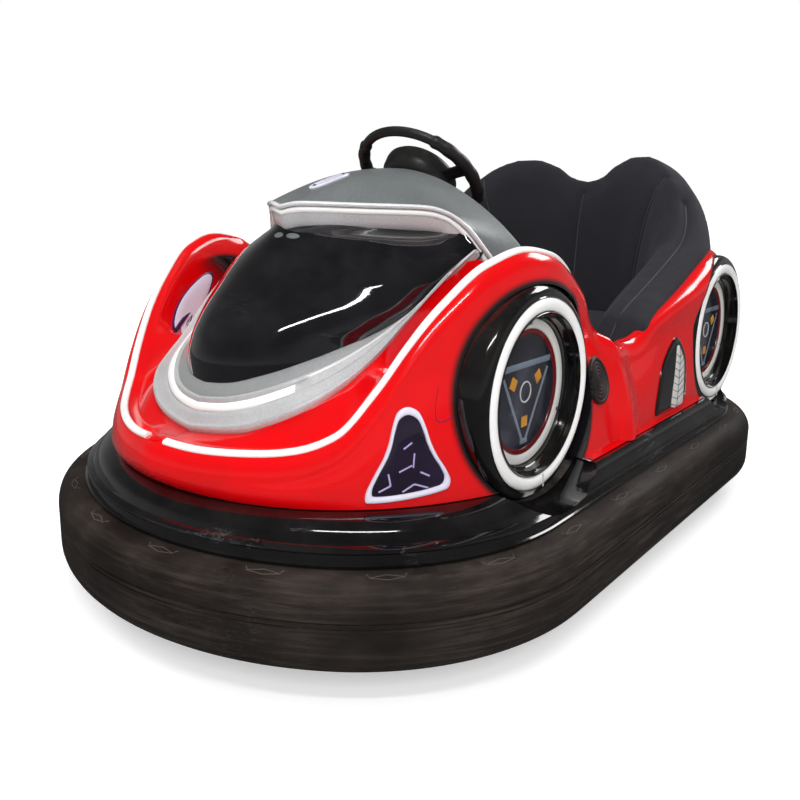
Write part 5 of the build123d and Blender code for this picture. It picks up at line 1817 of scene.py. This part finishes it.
# ---- moulded wheels
@dataclass
class MouldedWheel:
    """One moulded tyre with its light ring, stepped dish, inner ring and dark face."""

    name: str
    side: Side
    y: float
    z: float
    face: float
    depth: float = 0.07
    ring_outer: float = 0.177
    ring_inner: float = 0.153
    plate_depth: float = 0.0358
    # place along the axis, radius
    dish_profile: Rows = (
        (-0.04, 0.137), (-0.0335, 0.1368), (-0.0318, 0.135), (-0.0312, 0.128), (-0.0318, 0.1205),
        (-0.033, 0.1188), (-0.0352, 0.118), (-0.04, 0.118), (-0.04, 0.137))
    rim_profile: Rows = (
        (-0.042, 0.1182), (-0.0348, 0.118), (-0.0342, 0.1172), (-0.0342, 0.109), (-0.0356, 0.1082),
        (-0.042, 0.108), (-0.042, 0.1182))
    plate_profile: Rows = (
        (-0.052, 0.0), (-0.052, 0.1175), (-0.038, 0.1175), (-0.0366, 0.1165), (-0.0362, 0.08),
        (-0.036, 0.04), (-0.036, 0.0))
    circle_profile: Rows = (
        (-0.0362, 0.0205), (-0.035, 0.0202), (-0.035, 0.018), (-0.0362, 0.0177), (-0.0362, 0.0205))

    def axis(self) -> tuple[Vector, Vector]:
        """Centre of the face and the direction outwards."""
        return Vector((self.side.value * self.face, self.y, self.z)), Vector((self.side.value, 0.0, 0.0))

    def build(self) -> None:
        """Make the wheel's pieces."""
        centre, axis = self.axis()
        tread = [(-self.depth, 0.148), (-self.depth, 0.1995)]
        tread += [(-0.05, 0.1998), (-0.024, 0.2)]
        tread += [
            (-0.024 + 0.02 * math.sin(math.radians(a)), 0.18 + 0.02 * math.cos(math.radians(a)))
            for a in range(12, 91, 13)]
        tread += [
            (-0.002, 0.1785), (-0.0045, 0.1775), (-0.0045, 0.1525), (-0.001, 0.1515), (0.0, 0.1505),
            (-0.001, 0.1495), (-0.009, 0.1485), (-0.011, 0.1465), (-0.0112, 0.1435), (-0.023, 0.142),
            (-0.025, 0.1405), (-0.0252, 0.1385), (-0.0345, 0.1375), (-0.0345, 0.135), (-0.06, 0.135),
            (-self.depth, 0.148)]
        tyre = spun(f"moulded_tyre_{self.name}", tread, centre, axis, 128, 28)
        settle(tyre, TYRE_BLACK, ["moulded_tyres"])
        ring = [(-0.0046, self.ring_outer)] + [
            (-0.004 + 0.0062 * math.sin(math.pi * t) ** 0.55, self.ring_outer - 0.024 * t)
            for t in np.linspace(0.04, 0.96, 9)] + [(-0.0046, self.ring_inner), (-0.0046, self.ring_outer)]
        light = spun(f"light_ring_{self.name}", ring, centre, axis, 128, 40)
        settle(light, LIGHT_WHITE, ["light_rings"])
        dish = spun(f"dish_ring_{self.name}", self.dish_profile, centre, axis, 96, 35)
        settle(dish, RING_GREY, ["dish_rings"])
        settle(spun(f"face_rim_{self.name}", self.rim_profile, centre, axis, 96, 35), FACE_RED)
        settle(
            spun(f"wheel_face_{self.name}", self.plate_profile, centre, axis, 96, 30), FACE_DARK,
            ["wheel_faces"])
        self.graphics(centre, axis)
        self.details(centre, axis)

    def flat_bar(self, a: tuple[float, float], b: tuple[float, float], width: float, thick: float) -> Mesh:
        """A thin bar on the wheel's face between two of its points."""
        centre, axis = self.axis()
        ends = [
            (centre.x - axis.x * self.plate_depth, centre.y + y * self.side.value, centre.z + z)
            for y, z in (a, b)]
        return swept("bar", np.linspace(*ends, 4), axis, rounded(width, thick, 8, 4.0))

    def graphics(self, centre: Vector, axis: Vector) -> None:
        """A plain three-spoke pattern: a top bar, two sloping lines, three patches and a small circle."""
        lines = (
            ((-0.088, 0.052), (0.088, 0.052), 0.012), ((-0.08, 0.036), (-0.006, -0.092), 0.007),
            ((0.08, 0.036), (0.006, -0.092), 0.007), ((-0.012, -0.094), (0.012, -0.094), 0.01))
        bars = [self.flat_bar(*line, 0.0016) for line in lines]
        settle(joined(f"face_lines_{self.name}", bars), FACE_BLUE)
        patches = []
        for angle in (150.0, 30.0, 270.0):
            a = math.radians(angle)
            spot = (0.052 * math.cos(a), 0.052 * math.sin(a) - 0.004)
            wide = (0.01 * math.cos(a), 0.01 * math.sin(a))
            near, far = ((spot[0] + way * wide[0], spot[1] + way * wide[1]) for way in (-1, 1))
            patches.append(self.flat_bar(near, far, 0.022, 0.0018))
        settle(joined(f"face_patches_{self.name}", patches), FACE_AMBER)
        settle(
            spun(f"face_circle_{self.name}", self.circle_profile, centre, axis, 48, 30), RING_GREY)

    def details(self, centre: Vector, axis: Vector) -> None:
        """The joint in the light ring, and the clips that hold the inner ring."""
        clips = []
        reach = 0.13
        for angle, size in ((90.0, 0.009), (-25.0, 0.008), (210.0, 0.008)):
            a = math.radians(angle)
            aside, above = reach * math.cos(a) * self.side.value, reach * math.sin(a)
            spot = centre + Vector((-axis.x * 0.0318, aside, above))
            clips.append(
                spun(
                    "clip",
                    [
                        (0.0, 0.0), (0.0, size * 0.5), (0.0016, size * 0.5), (0.0024, size * 0.38),
                        (0.0012, size * 0.25), (0.0012, 0.0)],
                    spot, axis, 20, 30))
        settle(joined(f"ring_clips_{self.name}", clips), BARE_STEEL)
        a = math.radians(-86.0)
        path = np.array(
            [
                [
                    centre.x + axis.x * 0.0024, centre.y + r * math.cos(a) * self.side.value,
                    centre.z + r * math.sin(a)]
                for r in np.linspace(0.1528, 0.1776, 6)])
        joint = swept(f"ring_joint_{self.name}", path, axis, rounded(0.0035, 0.0024, 8))
        settle(joint, RING_GREY)


# ---- seat
def puff(piece: Mesh, voxel: float, pressure: float, cap: float) -> None:
    """Remesh a closed form and let a short cloth simulation fill it.

    Args:
        piece: The form, slightly smaller than the pad.
        voxel: Size of the new faces.
        pressure: The cloth's inner pressure.
        cap: The furthest that a point may move.
    """
    pick(piece)
    piece.data.remesh_voxel_size = voxel
    bpy.ops.object.voxel_remesh()
    rest = coordinates(piece)
    cloth = piece.modifiers.new("fill", "CLOTH")
    cloth.settings.use_pressure = True
    cloth.settings.uniform_pressure_force = pressure
    cloth.settings.effector_weights.gravity = 0.0
    cloth.settings.tension_stiffness = 12.0
    cloth.settings.compression_stiffness = 12.0
    cloth.settings.shear_stiffness = 6.0
    cloth.settings.bending_stiffness = 0.8
    cloth.settings.quality = 4
    cloth.point_cache.frame_start, cloth.point_cache.frame_end = 1, 20
    for number in range(1, 21):
        bpy.context.scene.frame_set(number)
    pick(piece)
    bpy.ops.object.modifier_apply(modifier=cloth.name)
    bpy.context.scene.frame_set(1)
    moved = coordinates(piece) - rest
    size = np.linalg.norm(moved, axis=1)
    keep = np.minimum(1.0, cap / np.maximum(size, 1e-9))
    place_all(piece, rest + moved * keep[:, None])
    modify(piece, "SMOOTH", factor=0.5, iterations=4)


@dataclass
class Seat:
    """The two-seat pad: a crowned cushion and a back whose ends run forward as bolsters."""

    # distance from the tail's middle along the seat's outline, height of the ridge
    ridge: Rows = (
        (0.0, 0.858), (0.05, 0.868), (0.12, 0.906), (0.208, 0.928), (0.26, 0.926), (0.3, 0.918),
        (0.34, 0.904), (0.38, 0.886), (0.44, 0.85), (0.5, 0.806), (0.56, 0.764), (0.63, 0.72), (0.71, 0.68),
        (0.85, 0.622), (0.95, 0.582), (1.04, 0.54), (1.09, 0.508), (1.13, 0.47))
    # the same, width of the section at the cushion
    width: Rows = ((0.0, 0.128), (0.3, 0.14), (0.52, 0.15), (0.7, 0.142), (1.13, 0.138))
    base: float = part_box("seat_back")[0].z
    front_end: float = 1.09
    shrink: float = 0.007
    # share between the outside (0) and the inside (1) of the section, share of its height
    section_shape: Rows = (
        (0.02, 0.0), (0.0, 0.12), (0.0, 0.4), (-0.04, 0.62), (-0.12, 0.78), (-0.1, 0.89), (0.08, 0.965),
        (0.4, 1.0), (0.53, 0.985), (0.65, 0.94), (0.76, 0.86), (0.85, 0.74), (0.92, 0.6), (0.97, 0.44),
        (1.0, 0.28), (1.0, 0.12), (0.98, 0.0))
    # guide of the seam left of the middle
    back_seam: Rows = (
        (0.3, 0.5, 0.885), (0.283, 0.5, 0.845), (0.262, 0.5, 0.78), (0.25, 0.5, 0.725), (0.236, 0.5, 0.64),
        (0.228, 0.5, 0.56), (0.224, 0.5, 0.48))

    def section(self, distance: Array) -> tuple[Array, Array]:
        """Insets and heights round the pad's section at places along it."""
        top = table(self.ridge, 1, np.abs(distance))
        wide = table(self.width, 1, np.abs(distance))
        low = self.base + self.shrink
        back = np.minimum(np.abs(distance) / 0.45, 1.0)
        ridge = 0.05 + 0.012 * back
        insets, heights = [], []
        for out, up in self.section_shape:
            rising = self.shrink + ridge * out / 0.4
            falling = ridge + self.shrink + (wide - ridge - self.shrink * 2) * (out - 0.4) / 0.6
            inset = np.where(out <= 0.4, rising, falling)
            insets.append(inset)
            heights.append(low + (top - self.shrink - low) * up)
        return np.array(insets), np.array(heights)

    def build(self) -> None:
        """Make the two pads and their seams."""
        cushion = self.cushion()
        back = self.back()
        self.seams(back, cushion)

    def back(self) -> Mesh:
        """The back and its bolsters in one padded form."""
        reach = SEAT_LINE.length()
        columns, count = 200, 17

        def place(u: Array, v: Array) -> Array:
            """Points of the form, with rounded and closed front ends."""
            end, along = capped(u, columns)
            distance = (along * 2 - 1) * self.front_end
            side = np.where(distance < 0, 1.0, -1.0)
            station = (reach - np.abs(distance)) * side
            insets, heights = self.section(distance)
            k = nearest_step(v, count) % count
            number = np.arange(len(u))
            inset, z = insets[k, number], heights[k, number]
            near = smoothstep(np.abs(distance), self.front_end - 0.05, self.front_end) * 0.35
            middle_inset, middle_z = insets.mean(axis=0), heights.mean(axis=0)
            near = np.where(end, 1.0, near)
            inset = inset + (middle_inset - inset) * near
            z = z + (middle_z - z) * near
            plan, _ = SEAT_LINE.at(station, inset)
            return solid_point(plan, z)

        back = sculpt_grid("seat_back_pad", columns, count, place, 60)
        puff(back, 0.0108, 5.0, 0.011)
        modify(back, "SUBSURF", levels=1, render_levels=1)
        self.press(back)
        settle(back, CLOTH, ["seat_back"])
        return back

    def cushion(self) -> Mesh:
        """The crowned cushion between the bolsters."""
        low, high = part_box("seat_cushion")
        deselect()
        middle = (low + high) / 2
        bpy.ops.mesh.primitive_cube_add(size=1.0, location=middle)
        cushion = bpy.context.object
        cushion.name = cushion.data.name = "seat_cushion_pad"
        size = high - low
        cushion.scale = (size.x - 0.016, size.y - 0.022, size.z - 0.016)
        bpy.ops.object.transform_apply()
        with editing(cushion):
            bpy.ops.mesh.bevel(offset=0.034, segments=4)
            bpy.ops.mesh.subdivide(number_cuts=3)
        points = coordinates(cushion)
        arch_x, arch_y = (
            np.cos(np.clip(part * math.pi, -1.5, 1.5))
            for part in (points[:, 0] / size.x, (points[:, 1] - middle.y) / size.y))
        crown = 0.012 * arch_x * arch_y
        points[:, 2] += np.where(points[:, 2] > middle.z, crown, 0.0)
        corner = smoothstep(np.abs(points[:, 0]), 0.24, 0.33) * smoothstep(points[:, 1], 0.55, 0.735)
        points[:, 0] -= np.sign(points[:, 0]) * 0.045 * corner
        points[:, 1] -= 0.045 * corner
        place_all(cushion, points)
        puff(cushion, 0.01, 4.0, 0.01)
        modify(cushion, "SUBSURF", levels=1, render_levels=1)
        self.press(cushion)
        settle(cushion, CLOTH, ["seat_cushion"])
        return cushion

    def seam_lines(self) -> list[tuple[str, Array, Vector]]:
        """Each seam's name, its guide points and the direction from which it is laid on."""
        back = Vector((0.0, 1.0, -0.25))
        lines = [("centre", np.array([(0.0, 0.5, z) for z in np.linspace(0.87, 0.47, 40)]), back)]
        for side in Side:
            s = side.value
            guide = np.array(self.back_seam)
            fine = np.stack([np.interp(np.linspace(0, 6, 40), range(7), guide[:, c]) for c in range(3)], 1)
            lines.append((f"back_{side.word}", fine * np.array([s, 1, 1]), back))
            distances = np.linspace(0.5, 1.075, 50)
            plan, _ = SEAT_LINE.at(SEAT_LINE.length() - distances, np.full(50, 0.052))
            ridge = np.stack([plan[:, 0] * s, plan[:, 1], np.full(50, 1.0)], 1)
            lines.append((f"bolster_{side.word}", ridge, -UP))
        lines.append(("cushion", np.array([(0.0, y, 0.8) for y in np.linspace(0.085, 0.715, 40)]), -UP))
        return lines

    def press(self, pad: Mesh) -> None:
        """Pull the pad in along its seams."""
        surface = Surface(pad)
        points = coordinates(pad)
        normals = np.array([v.normal for v in pad.data.vertices])
        pull = np.zeros(len(points))
        is_cushion = pad.name.startswith("seat_cushion")
        for name, guide, direction in self.seam_lines():
            if (name == "cushion") != is_cushion:
                continue
            laid = np.array([surface.hit(Vector(g), direction)[0] for g in guide])
            for a, b in zip(laid, laid[1:]):
                run = b - a
                t = np.clip(((points - a) @ run) / max(run @ run, 1e-12), 0, 1)
                away = np.linalg.norm(points - a - t[:, None] * run, axis=1)
                pull = np.maximum(
                    pull, 0.0055 * np.exp(-(away / 0.009) ** 2) + 0.004 * np.exp(-(away / 0.03) ** 2))
        place_all(pad, points - normals * pull[:, None])

    def seams(self, back: Mesh, cushion: Mesh) -> None:
        """Thin twin-needle threads in the seams."""
        back_skin, cushion_skin = Surface(back), Surface(cushion)
        threads = []
        for name, guide, direction in self.seam_lines():
            surface = cushion_skin if name == "cushion" else back_skin
            found = [surface.hit(Vector(g), direction) for g in guide]
            path = np.array([p + n * 0.0004 for p, n in found])
            normal = np.array([n for _, n in found])
            for _ in range(3):
                path[1:-1] = (path[:-2] + path[1:-1] * 2 + path[2:]) / 4
                normal[1:-1] = (normal[:-2] + normal[1:-1] * 2 + normal[2:]) / 4
            threads.append(swept("thread", path, normal, rounded(0.0026, 0.002, 8)))
        settle(joined("seat_seams", threads), THREAD)


# ---- steering
@dataclass
class Steering:
    """The steering wheel's rim with its grips, spokes and domed boss."""

    radius: float = 0.146
    tilt: float = 42.0
    spokes_at: tuple[float, float, float] = (8.0, 172.0, 270.0)
    low: Vector = field(default_factory=lambda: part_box("steering_wheel")[0])
    high: Vector = field(default_factory=lambda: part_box("steering_wheel")[1])
    # distance from the axis, rise
    spoke_path: Rows = (
        (0.05, -0.01), (0.07, -0.01), (0.09, -0.008), (0.11, -0.004), (0.126, -0.001), (0.142, 0.0))
    # place along the axis, radius
    boss_profile: Rows = (
        (-0.048, 0.0), (-0.048, 0.06), (-0.044, 0.072), (-0.034, 0.082), (-0.014, 0.0885), (0.004, 0.09),
        (0.011, 0.089), (0.016, 0.085), (0.0185, 0.076), (0.0195, 0.055), (0.02, 0.025), (0.02, 0.0))

    def frame(self) -> tuple[Vector, Vector, Vector, Vector]:
        """Centre, right, top and axis towards the driver."""
        a = math.radians(self.tilt)
        top, axis = Vector((0, -math.cos(a), math.sin(a))), Vector((0, math.sin(a), math.cos(a)))
        return (self.low + self.high) / 2, -LEFTWARD, top, axis

    def at(self, angle: float, reach: float, rise: float = 0.0) -> Vector:
        """A point at an angle from the rim's right, in degrees."""
        centre, right, top, axis = self.frame()
        a = math.radians(angle)
        return centre + right * (math.cos(a) * reach) + top * (math.sin(a) * reach) + axis * rise

    def tube(self, angle: Array) -> Array:
        """The rim's own radius: thin, with thicker finger grips about the spokes."""
        off = np.minimum(*(np.abs((angle - spoke + 180) % 360 - 180) for spoke in self.spokes_at[:2]))
        grip = 1 - smoothstep(off, 39.0, 43.0)
        knuckles = 0.0007 * np.cos(np.radians(angle) * 22.0) * grip
        return 0.0112 + 0.0032 * grip + knuckles

    def build(self) -> None:
        """Make the rim, the spokes and the boss."""
        centre, right, top, axis = (np.array(v) for v in self.frame())

        def place(u: Array, v: Array) -> Array:
            """Points of the rim's skin."""
            angle, turn = u * 360.0, v * math.tau
            a = np.radians(angle)
            spoke = np.outer(np.cos(a), right) + np.outer(np.sin(a), top)
            size = self.tube(angle)
            return centre + spoke * (
                self.radius + size * np.cos(turn))[:, None] + np.outer(size * np.sin(turn), axis)

        rim = sculpt_grid("steering_rim", 220, 24, place, 60)
        settle(rim, GRIP, ["steering_wheel"], Body.STEERING)
        spokes = []
        sizes = np.array([1.25, 1.15, 1.0, 0.92, 0.95, 1.0])
        for angle in self.spokes_at:
            path = np.array([self.at(angle, reach, rise) for reach, rise in self.spoke_path])
            spokes.append(swept("spoke", path, axis, rounded(0.034, 0.012, 14, 3.0), sizes))
        settle(joined("steering_spokes", spokes), GRIP, (), Body.STEERING)
        boss = spun("steering_boss_pad", self.boss_profile, Vector(centre), Vector(axis), 72, 40)
        settle(boss, GRIP, ["steering_boss"], Body.STEERING)


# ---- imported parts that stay
@dataclass(frozen=True)
class CarriedOver:
    """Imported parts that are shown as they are, with their finishes."""

    finishes: tuple[tuple[Finish, tuple[str, ...]], ...] = (
        (
            FRAME_STEEL,
            (
                "bumper_rail", "chassis_rails", "chassis_crossmembers", "tow_lug", "swivel_bridge",
                "rear_brackets", "bulkhead", "accelerator_pedal", "column_jacket")),
        (LINER, ("floor_pan", "seat_base")), (BATTERY, ("battery_pack",)),
        (CAST_GREY, ("swivel_housing", "steering_gearbox", "drive_fork", "drive_motor")),
        (BARE_STEEL, ("steering_shaft", "drive_axle", "rear_axles", "rear_left_hub", "rear_right_hub")),
        (WHEEL_RUBBER, ("drive_tyre", "rear_left_tyre", "rear_right_tyre")))

    def dress(self) -> None:
        """Give every carried-over part its material."""
        for finish, names in self.finishes:
            for name in names:
                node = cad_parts[name]
                node.data.materials.clear()
                node.data.materials.append(finish.material())
                log.info("%s: carried over", name)


# ---- studio
@dataclass(frozen=True)
class Lamp:
    """A soft box."""

    name: str
    place: tuple[float, float, float]
    aim: tuple[float, float, float]
    size: tuple[float, float]
    power: float
    mirrored: bool


@dataclass(frozen=True)
class Studio:
    """Floor, backdrop, soft lights and camera."""

    eye: tuple[float, float, float] = (1.143, -1.632, 0.8)
    yaw: float = 41.69
    pitch: float = -11.27
    lens: float = 35.27
    shift: tuple[float, float] = (0.0625, -0.0625)
    sky: float = 0.5
    lamps: tuple[Lamp, ...] = (
        Lamp("key_box", (2.4, -2.8, 2.4), (0.0, -0.3, 0.4), (1.6, 1.2), 52.0, False),
        Lamp("strip_box", (1.5, -1.9, 2.9), (0.1, -0.4, 0.4), (1.7, 0.16), 26.0, True),
        Lamp("over_box", (0.0, -0.4, 3.2), (0.0, -0.1, 0.5), (1.8, 1.4), 42.0, False),
        Lamp("fill_box", (-2.8, -1.6, 2.0), (0.0, 0.0, 0.5), (1.2, 1.2), 26.0, False),
        Lamp("rear_box", (1.2, 2.8, 2.6), (0.0, 0.4, 0.6), (1.6, 1.0), 36.0, True))

    def floor(self) -> None:
        """A wide pale floor."""
        deselect()
        bpy.ops.mesh.primitive_circle_add(vertices=96, radius=30.0, fill_type="NGON")
        floor = bpy.context.object
        floor.name = "studio_floor"
        made = bpy.data.materials.new("pale_floor")
        made.use_nodes = True
        made.node_tree.nodes.clear()
        nodes = Nodes(made.node_tree)
        path = nodes.add("LightPath")
        shows = nodes.math("MAXIMUM", path.outputs["Is Camera Ray"], path.outputs["Is Transmission Ray"])
        diffuse = nodes.add("BsdfDiffuse", {"Color": (0.86, 0.86, 0.86, 1.0)})
        away = nodes.add("VectorMath", {0: nodes.add("TexCoord").outputs["Object"]}, operation="LENGTH")
        far = nodes.between(away.outputs["Value"], 1.3, 3.2)
        glow = nodes.add(
            "Emission",
            {
                "Color": (1.0, 1.0, 1.0, 1.0),
                "Strength": nodes.times(shows, nodes.math("MULTIPLY_ADD", far, 0.55, 0.45))})
        both = nodes.add("AddShader", {0: diffuse.outputs[0], 1: glow.outputs[0]})
        dark = nodes.add("Emission", {"Color": (1.0, 1.0, 1.0, 1.0), "Strength": 0.1})
        seen = nodes.add(
            "MixShader", {0: path.outputs["Is Glossy Ray"], 1: both.outputs[0], 2: dark.outputs[0]})
        nodes.add("OutputMaterial", {"Surface": seen.outputs[0]})
        floor.data.materials.append(made)

    def world(self) -> None:
        """White to the camera, softer as light, darker overhead in reflections."""
        world = bpy.data.worlds.new("studio_world")
        bpy.context.scene.world = world
        world.use_nodes = True
        world.node_tree.nodes.clear()
        nodes = Nodes(world.node_tree)
        path = nodes.add("LightPath")
        shows = nodes.math("MAXIMUM", path.outputs["Is Camera Ray"], path.outputs["Is Transmission Ray"])
        height = nodes.parts(nodes.add("TexCoord").outputs["Generated"])[2]
        up = nodes.between(height, 0.05, 0.45)
        dim = nodes.math("MULTIPLY_ADD", up, -0.15, 0.21)
        glossy = nodes.times(path.outputs["Is Glossy Ray"], dim)
        other = nodes.times(nodes.math("SUBTRACT", 1.0, path.outputs["Is Glossy Ray"]), self.sky)
        strength = nodes.math("MAXIMUM", shows, nodes.plus(glossy, other))
        back = nodes.add("Background", {"Color": (1.0, 1.0, 1.0, 1.0), "Strength": strength})
        nodes.add("OutputWorld", {"Surface": back.outputs[0]})

    def lights(self) -> None:
        """Hang the soft boxes."""
        for lamp in self.lamps:
            deselect()
            bpy.ops.object.light_add(type="AREA", location=lamp.place)
            light = bpy.context.object
            light.name = lamp.name
            light.data.shape = "RECTANGLE"
            light.data.size, light.data.size_y = lamp.size
            light.data.energy = lamp.power
            light.visible_glossy = lamp.mirrored
            light.rotation_euler = (
                Vector(lamp.aim) - Vector(lamp.place)).to_track_quat("-Z", "Y").to_euler()

    def camera(self) -> None:
        """Stand the camera at the viewing place."""
        deselect()
        bpy.ops.object.camera_add(
            location=self.eye, rotation=(math.radians(90.0 + self.pitch), 0.0, math.radians(self.yaw)))
        camera = bpy.context.object
        camera.name = "view_camera"
        camera.data.lens = self.lens
        camera.data.sensor_width = 36.0
        camera.data.shift_x, camera.data.shift_y = self.shift
        camera.data.clip_start, camera.data.clip_end = 0.02, 100.0
        bpy.context.scene.camera = camera

    def build(self) -> None:
        """Set up the whole studio."""
        bpy.context.scene.view_settings.view_transform = "Standard"
        self.floor()
        self.world()
        self.lights()
        self.camera()


def main() -> None:
    """Build every sub-assembly in order."""
    Studio().build()
    Bumper().build()
    LowerTub().build()
    body = RedBody()
    shell = body.build()
    CrestLights(body).build()
    screen = Windscreen()
    screen.build()
    Tray(body, screen).build()
    Cowl().build()
    skin = Surface(shell)
    FenderLamps().build(skin)
    Headlamps().build(skin)
    SidePanels().build(skin)
    SpeakerCovers().build(skin)
    for side in Side:
        for tyre in (FRONT_TYRE, REAR_TYRE):
            MouldedWheel(f"{tyre.word}_{side.word}", side, tyre.y, tyre.z, HALF_WIDTH - tyre.inset).build()
    Seat().build()
    Steering().build()
    CarriedOver().dress()


if __name__ == "__main__":
    main()
